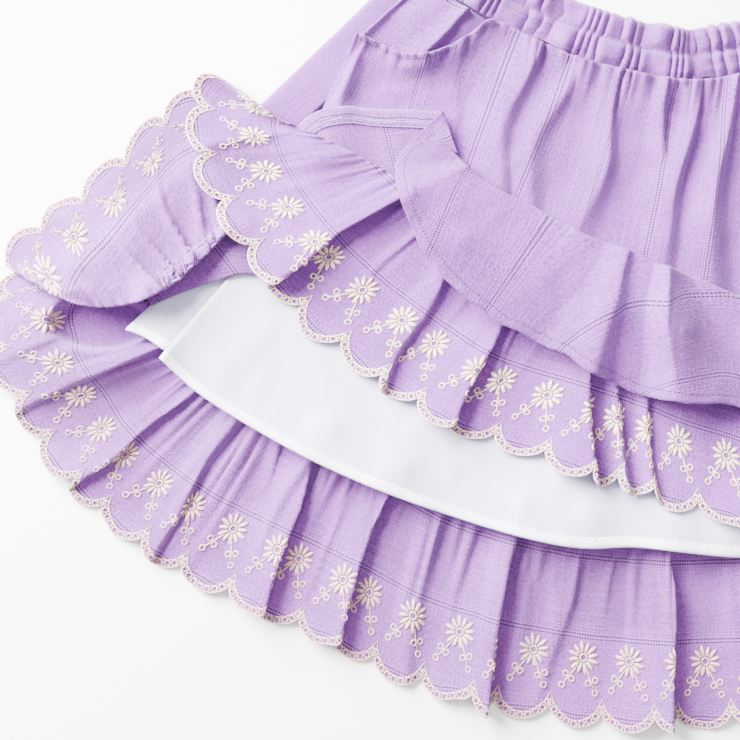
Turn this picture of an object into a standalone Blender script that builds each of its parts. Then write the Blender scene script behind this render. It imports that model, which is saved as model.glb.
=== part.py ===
"""A tiered cotton skirt with an elastic waist, laid flat with the left of its front lifted.

The skirt lies on its back. Its front embroidered tier is pushed up and turned over at the left,
so that the white lining and the back tier below it show. The sheets are laid one after another,
each on the heap of those before it. Tables are in millimetres on the table's plane: +X to the
right and +Y towards the waist, with X = 0 on the skirt's centre line.
"""

from collections import namedtuple

import bmesh
import bpy
import numpy as np

# Driving sizes, in millimetres
MM = 0.001
CLOTH = 1.2
LINING = 1.0
GAP = 0.35
SEAM_GAP = 0.3
WAIST_HALF_WIDTH = 145.0
WAISTBAND_HEIGHT = 25.5
WAISTBAND_WALL = 2.2
WAISTBAND_OPENING = 2.0
WAIST_CENTRE_Y = 122.5
WAIST_CURVE = 0.0198
WAIST_POWER = 1.6
WAIST_PUFFS = 34
PUFF_HEIGHT = 2.2
SCALLOP_PITCH = 25.0
SCALLOP_DEPTH = 11.0
SCALLOP_COLUMNS = 4
LAYOUT_CENTRE = (6.7, -0.95)

# The heap's height map
MAP_CELL = 2.0
MAP_HALF_X = 420.0
MAP_HALF_Y = 260.0
SUBSTEPS = 8

LILAC = (0.60, 0.45, 0.80)
LILAC_INSIDE = (0.57, 0.42, 0.77)
WHITE = (0.86, 0.86, 0.90)

# A row joins a point on a sheet's upper edge to one on its hem, and says how far each stands
# above what lies below. The belly is the extra height halfway down.
Row = namedtuple("Row", "top_x top_y hem_x hem_y top_lift belly hem_lift")

# A fold's crest meets the hem at a point. The cloth climbs to it over rise and drops over fall.
Fold = namedtuple("Fold", "hem_x hem_y rise fall top_height hem_height")

BODY_BACK = [
    Row(-120, 168, -262, 38, 4.6, 0.0, 3.0),
    Row(-131, 173, -276, 35, 4.6, 0.0, 3.0),
    Row(-142, 177, -294, 31.5, 3.9, 0.0, 3.4),
    Row(-145.5, 178, -298.5, 30, 1.8, 0.0, 1.8),
    Row(-142, 176.5, -294, 27, 0.0, 0.0, 0.0),
    Row(-131, 170, -284, 20, 0.0, 0.0, 0.0),
    Row(-111, 158, -258, 2, 0.0, 0.0, 0.0),
    Row(-94, 151, -232, -27, 0.0, 0.0, 0.0),
    Row(-65, 137, -184, -55.5, 0.0, 0.0, 0.0),
    Row(-35, 128, -118, -82.5, 0.0, 0.0, 0.0),
    Row(0, 122, 0, -102, 0.0, 0.0, 0.0),
    Row(35, 128, 75, -96, 0.0, 0.0, 0.0),
    Row(65, 137, 150, -71.5, 0.0, 0.0, 0.0),
    Row(94, 151, 219, -35, 0.0, 0.0, 0.0),
    Row(111, 158, 250, -11, 0.0, 0.0, 0.0),
    Row(131, 170, 282, 18, 0.0, 0.0, 0.0),
    Row(142, 176.5, 291, 27, 0.0, 0.0, 0.0),
    Row(145.5, 178, 294.5, 30, 1.8, 0.0, 1.8),
    Row(142, 177, 290, 32, 3.9, 0.0, 3.4),
    Row(131, 173, 274, 36, 4.6, 0.0, 3.6),
    Row(120, 168, 262, 40, 4.6, 0.0, 3.6),
]

FLOUNCE_BACK = [
    Row(-268, 42, -288, 2, 0.0, 0.0, 0.0),
    Row(-252, 24, -276, -16, 0.0, 0.0, 0.0),
    Row(-232, 4, -262, -42, 0.0, 0.3, 0.3),
    Row(-206, -16, -238, -68, 0.0, 0.3, 0.3),
    Row(-174, -34, -202, -92, 0.0, 0.3, 0.3),
    Row(-132, -54, -154, -113, 0.0, 0.3, 0.3),
    Row(-92, -67, -104, -131, 0.0, 0.3, 0.3),
    Row(-46, -76, -53, -141, 0.0, 0.3, 0.3),
    Row(0, -79, 0, -144, 0.0, 0.3, 0.3),
    Row(46, -77, 53, -141, 0.0, 0.3, 0.3),
    Row(92, -68, 106, -130, 0.0, 0.3, 0.3),
    Row(134, -52, 158, -110, 0.0, 0.3, 0.3),
    Row(174, -32, 206, -86, 0.0, 0.3, 0.3),
    Row(206, -12, 242, -60, 0.0, 0.3, 0.3),
    Row(234, 9, 270, -32, 0.0, 0.3, 0.3),
    Row(256, 29, 292, -5, 0.0, 0.0, 0.0),
    Row(268, 41, 306, 11, 0.0, 0.0, 0.0),
]

TIER_BACK = [
    Row(-305, 26, -332, 31, 0.0, 0.0, 0.5),
    Row(-286, 17, -349, 19, 0.0, 4.0, 1.0),
    Row(-264, 9, -352, 3, 0.0, 8.0, 2.0),
    Row(-254, 1, -348, -14, 0.0, 8.0, 2.0),
    Row(-250, -7.5, -341, -34, 0.0, 5.0, 1.5),
    Row(-245.5, -12.5, -331, -54, 0.0, 3.0, 1.0),
    Row(-240, -17.5, -321, -76, 0.0, 2.0, 0.5),
    Row(-229.5, -27, -302, -96, 0.0, 1.0, 0.0),
    Row(-216.5, -34.5, -279, -114, 0.0, 1.0, 0.0),
    Row(-203, -41, -254, -129, 0.0, 1.0, 0.0),
    Row(-183.5, -51.5, -229, -141, 0.0, 1.0, 0.0),
    Row(-147, -68.5, -184, -162, 0.0, 1.0, 0.0),
    Row(-118.5, -78, -145, -181, 0.0, 1.0, 0.0),
    Row(-86.5, -87, -110, -192, 0.0, 1.0, 0.0),
    Row(-51, -94, -65, -201, 0.0, 1.0, 0.0),
    Row(-15, -97, -17, -205, 0.0, 1.0, 0.0),
    Row(21.5, -97.5, 27, -204, 0.0, 1.0, 0.0),
    Row(74.5, -92, 85, -198, 0.0, 1.0, 0.0),
    Row(118.5, -80, 145, -183, 0.0, 1.0, 0.0),
    Row(183.5, -52.5, 229, -148, 0.0, 1.0, 0.0),
    Row(216.5, -32, 279, -123, 0.0, 1.0, 0.0),
    Row(247.5, -8.5, 318, -98, 0.0, 1.0, 0.0),
    Row(271, 10.5, 346, -71, 0.0, 1.0, 0.0),
    Row(295, 26, 366, -44, 0.0, 0.0, 0.0),
]

TIER_BACK_FOLDS = [
    Fold(-345, -20, 12, 5, 2.0, 1.0),
    Fold(-337, -42, 14, 6, 3.0, 3.0),
    Fold(-321, -78, 20, 8, 2.5, 7.0),
    Fold(-266, -122, 24, 6, 3.0, 7.5),
    Fold(-224, -144, 26, 7, 3.5, 10.0),
    Fold(-183, -163, 24, 7, 3.5, 9.0),
    Fold(-142, -182, 16, 12, 2.0, 4.0),
    Fold(-110, -192, 26, 7, 3.5, 10.5),
    Fold(-80, -199, 18, 7, 3.0, 1.0),
    Fold(-16, -205, 30, 7, 3.5, 9.0),
    Fold(30, -204, 26, 7, 3.5, 8.0),
    Fold(70, -200, 24, 8, 2.5, 4.0),
    Fold(110, -192, 24, 8, 2.5, 4.0),
    Fold(150, -181, 24, 8, 2.5, 3.0),
    Fold(229, -148, 28, 10, 2.0, 2.5),
    Fold(318, -98, 24, 10, 2.0, 2.0),
]

LINING_BACK = [
    Row(-128, 150, -282, -3, 0.0, 0.0, 0.0),
    Row(-118, 148, -270, -8, 0.0, 0.0, 0.0),
    Row(-100, 142, -244, -26, 0.0, 0.0, 0.0),
    Row(-70, 130, -190, -60, 0.0, 0.0, 0.0),
    Row(-30, 118, -90, -97, 0.0, 0.0, 0.0),
    Row(15, 116, 20, -108, 0.0, 0.0, 0.0),
    Row(60, 127, 100, -101, 0.0, 0.0, 0.0),
    Row(100, 142, 190, -68, 0.0, 0.0, 0.0),
    Row(122, 150, 252, -20, 0.0, 0.0, 0.0),
]

LINING_FRONT = [
    Row(-126, 149, -264.5, -17, 0.0, 0.0, 2.5),
    Row(-118, 148, -256, -25.5, 0.0, 0.0, 1.5),
    Row(-110, 146, -245, -35, 0.0, 0.0, 0.0),
    Row(-98, 141, -226, -47.5, 0.0, 0.0, 0.0),
    Row(-82, 134, -193, -66, 0.0, 0.0, 0.0),
    Row(-66, 129, -160, -81, 0.0, 0.0, 0.0),
    Row(-52, 123, -125, -94, 0.0, 0.0, 0.0),
    Row(-38, 119, -89, -105, 0.0, 0.0, 0.0),
    Row(-22, 116, -56, -111.5, 0.0, 0.0, 0.0),
    Row(-5, 115, -25, -111.5, 0.0, 0.0, 0.0),
    Row(14, 116, 25, -116.5, 0.0, 0.0, 0.0),
    Row(38, 119, 75, -115, 0.0, 0.0, 0.0),
    Row(66, 129, 130, -101, 0.0, 0.0, 0.0),
    Row(98, 141, 195, -73, 0.0, 0.0, 0.0),
    Row(120, 149, 254, -27, 0.0, 0.0, 0.0),
]

BODY_TURNED = [
    Row(-271, 13, -269, 9, 1.5, 0.0, 1.5),
    Row(-260, 21, -254, 15.5, 2.0, 0.0, 1.0),
    Row(-247, 34, -237, 21.5, 2.0, 1.0, 0.5),
    Row(-235, 46, -220, 25, 1.0, 1.0, 0.5),
    Row(-220, 58, -200, 19.5, 0.0, 0.5, 0.0),
    Row(-200, 66, -180, 17, 0.0, 0.0, 0.0),
    Row(-175, 63, -160, 17, 0.0, 0.0, 0.0),
]

POCKET_FACING = [
    Row(-139, 167, -163.5, 145, 1.5, 1.0, 0.5),
    Row(-126, 166, -152, 135, 2.5, 3.0, 0.5),
    Row(-112, 158.5, -141, 130, 2.5, 3.0, 0.5),
    Row(-106, 155, -125, 131, 1.5, 2.0, 0.5),
    Row(-100, 152, -107, 141, 1.5, 0.5, 0.5),
]

POCKET_FACING_FOLDS = [Fold(-141, 130, 8, 4, 2.5, 2.5)]

BODY_FRONT = [
    Row(-166.5, 145, -195, 84, 0.5, 0.5, 0.0),
    Row(-152, 138.5, -172, 76, 1.0, 1.0, 0.0),
    Row(-140, 134, -152, 67, 1.2, 1.0, 0.0),
    Row(-125, 136.5, -137, 54, 1.0, 1.5, 0.0),
    Row(-110, 145, -125, 43, 1.5, 2.0, 0.0),
    Row(-100, 151.5, -117, 38, 2.5, 2.5, 0.0),
    Row(-87.5, 147.5, -109, 31, 3.0, 3.0, 0.0),
    Row(-75, 141, -101, 26, 3.0, 3.0, 0.0),
    Row(-55, 133, -87, 17, 3.0, 3.0, 0.0),
    Row(-35, 128, -65, 8, 3.0, 3.0, 0.0),
    Row(-17, 124, -42, 1, 3.0, 3.0, 0.0),
    Row(3, 122, -17, -4, 3.0, 3.0, 0.0),
    Row(25, 125, 15, -9, 3.0, 3.0, 0.0),
    Row(45, 130, 62, -24, 3.0, 3.0, 0.0),
    Row(65, 137, 105, -36, 3.0, 3.0, 0.0),
    Row(85, 146.5, 145, -42, 3.0, 3.0, 0.0),
    Row(102, 155, 180, -38, 3.0, 3.0, 0.0),
    Row(115, 161, 212, -22, 2.5, 2.5, 0.0),
    Row(126, 167, 240, 4, 1.5, 1.5, 0.0),
    Row(134, 170, 262, 24, 1.0, 1.0, 0.0),
]

BODY_FRONT_FOLDS = [
    Fold(-130, 48, 20, 8, 0.5, 1.0),
    Fold(-109, 31, 16, 5, 4.0, 2.0),
    Fold(-98, 24, 14, 5, 4.5, 2.5),
    Fold(-78, 13, 18, 7, 5.0, 3.0),
    Fold(-55, 5, 18, 7, 5.0, 3.0),
    Fold(-36, 0, 12, 5, 3.5, 0.5),
    Fold(-17, -4, 20, 6, 5.0, 3.0),
    Fold(10, -8, 18, 10, 3.0, 2.5),
    Fold(45, -19, 18, 6, 4.0, 2.0),
    Fold(75, -28, 18, 6, 4.5, 2.5),
    Fold(110, -37, 20, 8, 4.0, 2.0),
    Fold(150, -42, 20, 8, 4.0, 2.0),
    Fold(190, -34, 20, 8, 3.5, 2.0),
    Fold(222, -12, 18, 8, 3.0, 1.5),
]

TIER_TURNED = [
    Row(-328, 21, -347, 31, 0.0, 0.0, 0.0),
    Row(-316, 14, -343, 40, 3.5, 1.5, 0.5),
    Row(-303, 9, -335, 49, 6.5, 4.0, 0.5),
    Row(-288, 8, -320, 61, 9.0, 6.0, 0.0),
    Row(-271, 11.5, -302, 74, 7.0, 6.0, 0.0),
    Row(-257, 19.5, -283, 92, 4.0, 5.0, 0.0),
    Row(-243.5, 32, -267, 109, 2.5, 4.0, 0.0),
    Row(-232.5, 43, -253, 117, 1.0, 2.0, 0.0),
    Row(-223, 50, -238, 116, 0.0, 0.5, 0.0),
]

TIER_TURNED_FOLDS = [
    Fold(-322, 59, 16, 6, 2.5, 0.5),
    Fold(-282, 93, 12, 6, 3.0, 1.0),
    Fold(-264, 111, 10, 5, 3.5, 1.5),
]

FLOUNCE_TURNED = [
    Row(-180, 79, -197, 98.5, 0.0, 0.5, 0.0),
    Row(-170, 74, -189, 105, 0.0, 0.8, 0.2),
    Row(-157, 66, -175, 108.5, 0.0, 1.0, 0.5),
    Row(-145, 59, -157.5, 107.5, 0.0, 1.0, 0.8),
    Row(-132, 59, -140, 107, 0.0, 1.0, 0.8),
    Row(-120, 66, -125, 106, 0.0, 0.5, 0.5),
]

TIER_FRONT = [
    Row(-208, 103, -214, 108, 0.5, 0.5, 1.0),
    Row(-206, 101.5, -229, 120, 1.0, 1.0, 2.0),
    Row(-202, 100, -243, 126.5, 1.0, 1.0, 2.0),
    Row(-195, 98, -251, 117, 0.0, 0.0, 0.0),
    Row(-185, 93, -253, 103, 0.0, 0.0, 0.0),
    Row(-172, 87, -250, 82, 0.0, 0.0, 0.0),
    Row(-159, 80, -242, 62, 0.5, 1.0, 0.5),
    Row(-149, 74, -232, 43, 0.5, 1.5, 1.5),
    Row(-144, 68, -221, 28, 0.5, 1.0, 1.0),
    Row(-139, 61, -210, 14, 0.0, 0.5, 0.5),
    Row(-131, 52, -196, 0, 0.0, 0.5, 0.0),
    Row(-116, 42, -178, -16, 0.0, 0.5, 0.0),
    Row(-97, 31, -155, -33, 0.0, 0.5, 0.0),
    Row(-76, 21, -132, -49, 0.0, 0.5, 0.0),
    Row(-58, 14, -105, -61, 0.0, 0.5, 0.0),
    Row(-40, 7, -75, -71, 0.0, 0.5, 0.0),
    Row(-20, 1, -42, -82, 0.0, 0.5, 0.0),
    Row(2, -3, -9, -94, 0.0, 0.5, 0.0),
    Row(28, -8, 25, -104, 0.0, 0.5, 0.0),
    Row(68, -20, 65, -119, 0.0, 0.5, 0.0),
    Row(110, -32, 105, -134, 0.0, 0.5, 0.0),
    Row(150, -38, 150, -144, 0.0, 0.5, 0.0),
    Row(190, -34, 200, -143, 0.0, 0.5, 0.0),
    Row(222, -20, 250, -128, 0.0, 0.5, 0.0),
    Row(246, -2, 295, -106, 0.0, 0.5, 0.0),
    Row(266, 14, 330, -81, 0.0, 0.5, 0.0),
    Row(282, 24, 353, -59, 0.0, 0.5, 0.0),
    Row(297, 31, 370.5, -38, 0.0, 0.0, 0.0),
]

TIER_FRONT_FOLDS = [
    Fold(-240, 126, 10, 10, 2.0, 4.0),
    Fold(-221, 28, 40, 7, 4.0, 9.0),
    Fold(-196, 0, 14, 6, 3.0, 1.0),
    Fold(-128, -51, 30, 7, 4.0, 9.0),
    Fold(-102, -62, 12, 6, 3.0, 0.5),
    Fold(-54, -78, 34, 6, 4.0, 10.0),
    Fold(-24, -89, 9, 7, 5.0, 9.0),
    Fold(28, -105, 24, 9, 3.0, 5.0),
    Fold(72, -122, 26, 9, 3.0, 5.0),
    Fold(120, -138, 26, 9, 3.0, 5.0),
    Fold(170, -145, 26, 9, 3.0, 5.0),
    Fold(222, -138, 26, 9, 3.0, 5.0),
    Fold(272, -118, 26, 9, 3.0, 4.0),
    Fold(320, -90, 24, 9, 2.5, 3.0),
]

FLOUNCE_FRONT = [
    Row(-116.5, 85, -123.5, 106, 0.5, 0.5, 0.5),
    Row(-118.5, 86, -135, 95, 0.5, 0.5, 1.0),
    Row(-120, 86.5, -146, 83.5, 1.5, 1.0, 1.5),
    Row(-117, 84, -148, 76, 1.5, 1.5, 1.0),
    Row(-112, 78.5, -146.5, 64, 1.0, 2.0, 0.5),
    Row(-106, 72.5, -141, 49, 1.0, 2.5, 0.0),
    Row(-95, 66, -131, 33, 1.0, 3.0, 0.0),
    Row(-80, 59, -116, 16, 1.0, 3.0, 0.0),
    Row(-64, 50, -96, 0, 1.0, 3.0, 0.0),
    Row(-47, 42, -75, -11, 1.0, 3.0, 0.0),
    Row(-32, 37, -55, -21, 1.0, 3.0, 0.0),
    Row(-20, 31, -40, -28, 1.0, 3.0, 0.0),
    Row(-9, 27, -24, -36, 1.0, 3.0, 0.5),
    Row(8, 20.5, 0, -40, 1.0, 2.5, 0.0),
    Row(26, 13, 25, -43, 1.0, 2.5, 0.0),
    Row(67, -1, 65, -57, 1.0, 2.0, 0.0),
    Row(110, -13, 110, -73, 1.0, 2.0, 0.0),
    Row(150, -19, 155, -82, 1.0, 2.0, 0.0),
    Row(185, -16, 198, -80, 1.0, 2.0, 0.0),
    Row(215, -4, 236, -62, 1.0, 2.0, 0.0),
    Row(239, 14, 269, -38, 1.0, 1.5, 0.0),
    Row(257, 32, 294, -12, 0.5, 1.0, 0.0),
    Row(270, 48, 311, 9, 0.0, 0.0, 0.0),
]

FLOUNCE_FRONT_FOLDS = [
    Fold(-146, 83, 8, 10, 1.5, 2.5),
    Fold(-62, -18, 26, 12, 1.0, 5.0),
    Fold(-25, -36, 12, 7, 3.0, 9.0),
    Fold(38, -48, 24, 12, 1.0, 5.0),
    Fold(92, -68, 24, 12, 1.0, 5.0),
    Fold(150, -81, 24, 12, 1.0, 5.0),
    Fold(208, -77, 24, 12, 1.0, 5.0),
    Fold(262, -43, 22, 12, 1.0, 4.0),
]


def clear_scene():
    for thing in list(bpy.data.objects):
        bpy.data.objects.remove(thing)


def cloth_material(name, colour, roughness):
    material = bpy.data.materials.new(name)
    material.use_nodes = True
    shader = material.node_tree.nodes["Principled BSDF"]
    shader.inputs["Base Color"].default_value = (*colour, 1.0)
    shader.inputs["Roughness"].default_value = roughness
    shader.inputs["Metallic"].default_value = 0.0
    return material


def smooth_step(share):
    share = np.clip(share, 0.0, 1.0)
    return share * share * (3.0 - 2.0 * share)


def waist_y(x):
    """Where the body meets the waistband."""
    return WAIST_CENTRE_Y + WAIST_CURVE * np.abs(x) ** WAIST_POWER


def through_rows(rows, steps=16):
    """A smooth curve through every column of a table, as a dense array of rows."""
    given = np.array(rows, float)
    ends = np.vstack([2 * given[0] - given[1], given, 2 * given[-1] - given[-2]])
    dense = []
    for k in range(1, len(ends) - 2):
        before, start, end, after = ends[k - 1 : k + 3]
        for share in np.arange(steps) / steps:
            dense.append(
                start
                + 0.5 * share * (end - before)
                + share**2 * (before - 2.5 * start + 2 * end - 0.5 * after)
                + share**3 * (1.5 * (start - end) + 0.5 * (after - before))
            )
    dense.append(ends[-2])
    return np.array(dense)


class Strip:
    """A sheet's two edges as smooth curves, read by the distance along its hem."""

    def __init__(self, rows):
        self.columns = through_rows(rows)
        steps = np.diff(self.columns[:, 2:4], axis=0)
        self.distance = np.concatenate([[0.0], np.cumsum(np.hypot(*steps.T))])
        self.length = self.distance[-1]

    def at(self, distance):
        return [np.interp(distance, self.distance, column) for column in self.columns.T]

    def nearest(self, x, y):
        return self.distance[np.argmin(np.hypot(*(self.columns[:, 2:4] - (x, y)).T))]


def fold_heights(strip, folds, along, down):
    """The height of the highest fold at each point, above the sheet's own level."""
    height = np.zeros_like(along)
    for fold in folds:
        past = along - strip.nearest(fold.hem_x, fold.hem_y)
        climb = smooth_step(1.0 + past / fold.rise)
        drop = smooth_step(1.0 - past / fold.fall)
        crest = fold.top_height + (fold.hem_height - fold.top_height) * down
        height = np.maximum(height, crest * np.where(past < 0.0, climb, drop))
    return height


def scallop_notch(along, length):
    """How far the edge stands back from the scallops' tips: none at a tip, all at a notch."""
    count = max(1, round(length / SCALLOP_PITCH))
    across = 2.0 * (along / length * count % 1.0) - 1.0
    return SCALLOP_DEPTH * (1.0 - np.sqrt(1.0 - np.minimum(across**2, 1.0)))


def between(grid, substeps):
    """A grid with substeps steps in each of its cells, in straight lines."""
    for axis in (0, 1):
        count = grid.shape[axis]
        places = np.linspace(0, count - 1, (count - 1) * substeps + 1)
        low = np.minimum(places.astype(int), count - 2)
        share = (places - low).reshape((-1, 1) if axis == 0 else (1, -1))
        grid = np.take(grid, low, axis) * (1 - share) + np.take(grid, low + 1, axis) * share
    return grid


class Heap:
    """The height of what has been laid so far, on a square map."""

    def __init__(self):
        columns = int(2 * MAP_HALF_X / MAP_CELL) + 1
        rows = int(2 * MAP_HALF_Y / MAP_CELL) + 1
        self.height = np.full((columns, rows), -GAP)

    def cell(self, x, y):
        column = np.rint((x + MAP_HALF_X) / MAP_CELL).astype(int)
        row = np.rint((y + MAP_HALF_Y) / MAP_CELL).astype(int)
        return column, row

    def widened(self, height):
        """Each cell takes the highest of itself and its eight neighbours."""
        wide = height.copy()
        for across in (-1, 0, 1):
            for along in (-1, 0, 1):
                wide = np.maximum(wide, np.roll(height, (across, along), (0, 1)))
        return wide

    def rest(self, x, y, lift, thickness):
        """The height of a sheet's middle that lies on the heap, lift above it where asked."""
        under = self.widened(self.height)
        middle = under[self.cell(x, y)] + GAP + thickness / 2 + lift
        fine_x, fine_y = between(x, SUBSTEPS), between(y, SUBSTEPS)
        needed = under[self.cell(fine_x, fine_y)] + GAP + thickness / 2
        for _ in range(3):
            short = np.maximum(needed - between(middle, SUBSTEPS), 0.0)
            middle = middle + self.raised(short, middle.shape)
        return middle

    def raised(self, short, shape):
        """Lifts all four corners of each cell that dips into the heap by what it lacks."""
        lift = np.zeros(shape)
        for i in range(SUBSTEPS + 1):
            for j in range(SUBSTEPS + 1):
                inside = short[i : i + (shape[0] - 1) * SUBSTEPS : SUBSTEPS]
                inside = inside[:, j : j + (shape[1] - 1) * SUBSTEPS : SUBSTEPS]
                rows, columns = inside.shape
                for a in (0, 1):
                    for b in (0, 1):
                        corner = lift[a : a + rows, b : b + columns]
                        np.maximum(corner, inside, out=corner)
        return lift

    def add(self, x, y, middle, thickness):
        cells = self.cell(between(x, SUBSTEPS), between(y, SUBSTEPS))
        np.maximum.at(self.height, cells, between(middle, SUBSTEPS) + thickness / 2)


def shift_of(x, y):
    return (x - LAYOUT_CENTRE[0]) * MM, (y - LAYOUT_CENTRE[1]) * MM


def cloth_object(name, x, y, z, thickness, material, ring=False):
    """One piece of cloth: a grid of points with a wall round it."""
    columns, rows = x.shape[0] - 1, x.shape[1] - 1
    mesh = bmesh.new()
    bmesh.ops.create_grid(mesh, x_segments=columns, y_segments=rows, size=1.0)
    flat_x, flat_y = shift_of(x, y)
    for vertex in mesh.verts:
        i = round((vertex.co.x + 1) / 2 * columns)
        j = round((vertex.co.y + 1) / 2 * rows)
        vertex.co = (flat_x[i, j], flat_y[i, j], z[i, j] * MM)
    if ring:
        bmesh.ops.remove_doubles(mesh, verts=mesh.verts, dist=0.01 * MM)
    mesh.normal_update()
    if sum(face.normal.z * face.calc_area() for face in mesh.faces) < 0:
        bmesh.ops.reverse_faces(mesh, faces=mesh.faces)
    data = bpy.data.meshes.new(name)
    mesh.to_mesh(data)
    mesh.free()
    data.shade_smooth()
    data.materials.append(material)
    piece = bpy.data.objects.new(name, data)
    bpy.context.collection.objects.link(piece)
    wall = piece.modifiers.new("wall", "SOLIDIFY")
    wall.thickness = thickness * MM
    wall.offset = 0.0
    return piece


def lay_sheet(heap, name, rows, material, columns=None, steps=4, folds=(), scalloped=False,
              thickness=CLOTH, settle=0.0):
    """Lays one sheet on the heap, with its folds, and adds it to the heap.

    The map leaves some slack under a slope, and a sheet that needs to touch sinks by settle.
    """
    strip = Strip(rows)
    if scalloped:
        columns = SCALLOP_COLUMNS * max(1, round(strip.length / SCALLOP_PITCH))
    stations = np.linspace(0.0, strip.length, columns + 1)
    along, down = np.meshgrid(stations, np.linspace(0.0, 1.0, steps + 1), indexing="ij")
    top_x, top_y, hem_x, hem_y, top_lift, belly, hem_lift = strip.at(along)
    top_y = np.minimum(top_y, waist_y(top_x) - SEAM_GAP)
    reach = down
    if scalloped:
        depth = np.hypot(hem_x - top_x, hem_y - top_y)
        reach = down - scallop_notch(along, strip.length) / depth * down**3
    x = top_x + (hem_x - top_x) * reach
    y = top_y + (hem_y - top_y) * reach
    lift = top_lift * (1 - down) + hem_lift * down + belly * 4 * down * (1 - down)
    lift = lift + fold_heights(strip, folds, along, down)
    z = np.maximum(heap.rest(x, y, lift, thickness) - settle, thickness / 2)
    heap.add(x, y, z, thickness)
    return cloth_object(name, x, y, z, thickness, material)


def lay_back_panel(heap, material, columns=60, steps=6):
    """The back of the body, flat on the table, with both sides rolled over to the side seams."""
    strip = Strip(BODY_BACK)
    ends = np.array([strip.nearest(row.hem_x, row.hem_y) for row in BODY_BACK])
    shares = np.linspace(0, len(BODY_BACK) - 1, columns + 1)
    stations = np.interp(shares, np.arange(len(BODY_BACK)), ends)
    along, down = np.meshgrid(stations, np.linspace(0.0, 1.0, steps + 1), indexing="ij")
    top_x, top_y, hem_x, hem_y, top_lift, _, hem_lift = strip.at(along)
    top_y = np.minimum(top_y, waist_y(top_x) - SEAM_GAP)
    x = top_x + (hem_x - top_x) * down
    y = top_y + (hem_y - top_y) * down
    z = heap.rest(x, y, top_lift * (1 - down) + hem_lift * down, CLOTH)
    heap.add(x, y, z, CLOTH)
    return cloth_object("body_back", x, y, z, CLOTH, material)


def waistband(material, steps=3):
    """The elastic casing: one flattened loop whose front is puffed by its gathers."""
    edge = WAISTBAND_OPENING / 2 + WAISTBAND_WALL / 2
    front = np.linspace(-WAIST_HALF_WIDTH, WAIST_HALF_WIDTH, 2 * WAIST_PUFFS + 1)
    puff = PUFF_HEIGHT * (np.arange(len(front)) % 2)
    back = np.linspace(WAIST_HALF_WIDTH, -WAIST_HALF_WIDTH, 13)
    turn = np.radians([60.0, 0.0, -60.0])
    right_x, right_z = WAIST_HALF_WIDTH + edge * np.cos(turn), edge * np.sin(turn)
    left_x, left_z = -right_x, -right_z
    loop_x = np.concatenate([front, right_x, back, left_x, front[:1]])
    loop_z = np.concatenate([edge + puff, right_z, np.full(13, -edge), left_z, [edge]])
    seam_x = np.clip(loop_x, -WAIST_HALF_WIDTH, WAIST_HALF_WIDTH)
    slope = WAIST_CURVE * WAIST_POWER * np.sign(seam_x) * np.abs(seam_x) ** (WAIST_POWER - 1)
    length = np.hypot(1.0, slope)
    up = np.linspace(0.0, WAISTBAND_HEIGHT, steps + 1)
    x = loop_x[:, None] - np.outer(slope / length, up)
    y = (waist_y(seam_x) + (loop_x - seam_x) * slope)[:, None] + np.outer(1 / length, up) + GAP
    squeeze = 1.0 - 0.35 * np.abs(2 * up / WAISTBAND_HEIGHT - 1.0)
    puffed = np.zeros_like(loop_z)
    puffed[: len(front)] = puff
    z = (loop_z - puffed)[:, None] + np.outer(puffed, squeeze) + edge + WAISTBAND_WALL / 2
    return cloth_object("waistband", x, y, z, WAISTBAND_WALL, material, ring=True)


def main():
    clear_scene()
    lilac = cloth_material("lilac cotton", LILAC, 0.85)
    inside = cloth_material("lilac cotton inside", LILAC_INSIDE, 0.88)
    white = cloth_material("white lining cotton", WHITE, 0.7)
    heap = Heap()
    lay_sheet(heap, "flounce_back", FLOUNCE_BACK, lilac, columns=40)
    lay_back_panel(heap, lilac)
    lay_sheet(heap, "tier_back", TIER_BACK, inside, folds=TIER_BACK_FOLDS, steps=5, scalloped=True)
    lay_sheet(heap, "lining_back", LINING_BACK, white, columns=24, steps=5, thickness=LINING)
    lay_sheet(heap, "lining_front", LINING_FRONT, white, columns=30, steps=5, thickness=LINING)
    lay_sheet(heap, "body_turned", BODY_TURNED, inside, columns=14)
    lay_sheet(heap, "pocket_facing", POCKET_FACING, lilac, columns=14, folds=POCKET_FACING_FOLDS)
    lay_sheet(heap, "body_front", BODY_FRONT, lilac, columns=84, steps=6, folds=BODY_FRONT_FOLDS)
    lay_sheet(heap, "tier_turned", TIER_TURNED, inside, folds=TIER_TURNED_FOLDS, steps=6,
              scalloped=True, settle=1.0)
    lay_sheet(heap, "flounce_turned", FLOUNCE_TURNED, inside, columns=12)
    lay_sheet(heap, "tier_front", TIER_FRONT, lilac, folds=TIER_FRONT_FOLDS, steps=5,
              scalloped=True)
    lay_sheet(heap, "flounce_front", FLOUNCE_FRONT, lilac, columns=80, folds=FLOUNCE_FRONT_FOLDS)
    waistband(lilac)


main()
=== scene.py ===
# %% [markdown]
# # A tiered cotton skirt, laid flat with its left front lifted
#
# A skirt like this is sewn from a few flat cuts of cotton: a gathered body, a plain flounce, a
# scalloped tier with machine embroidery and a white lining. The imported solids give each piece's
# place. This lesson makes the cloth again with finer folds, sews stitches and embroidery on it,
# and gives each finish its weave. All lengths below are in millimetres on the table's plane
# until a mesh is finished, because a maker thinks in millimetres.

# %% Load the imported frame
from collections import namedtuple

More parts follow.
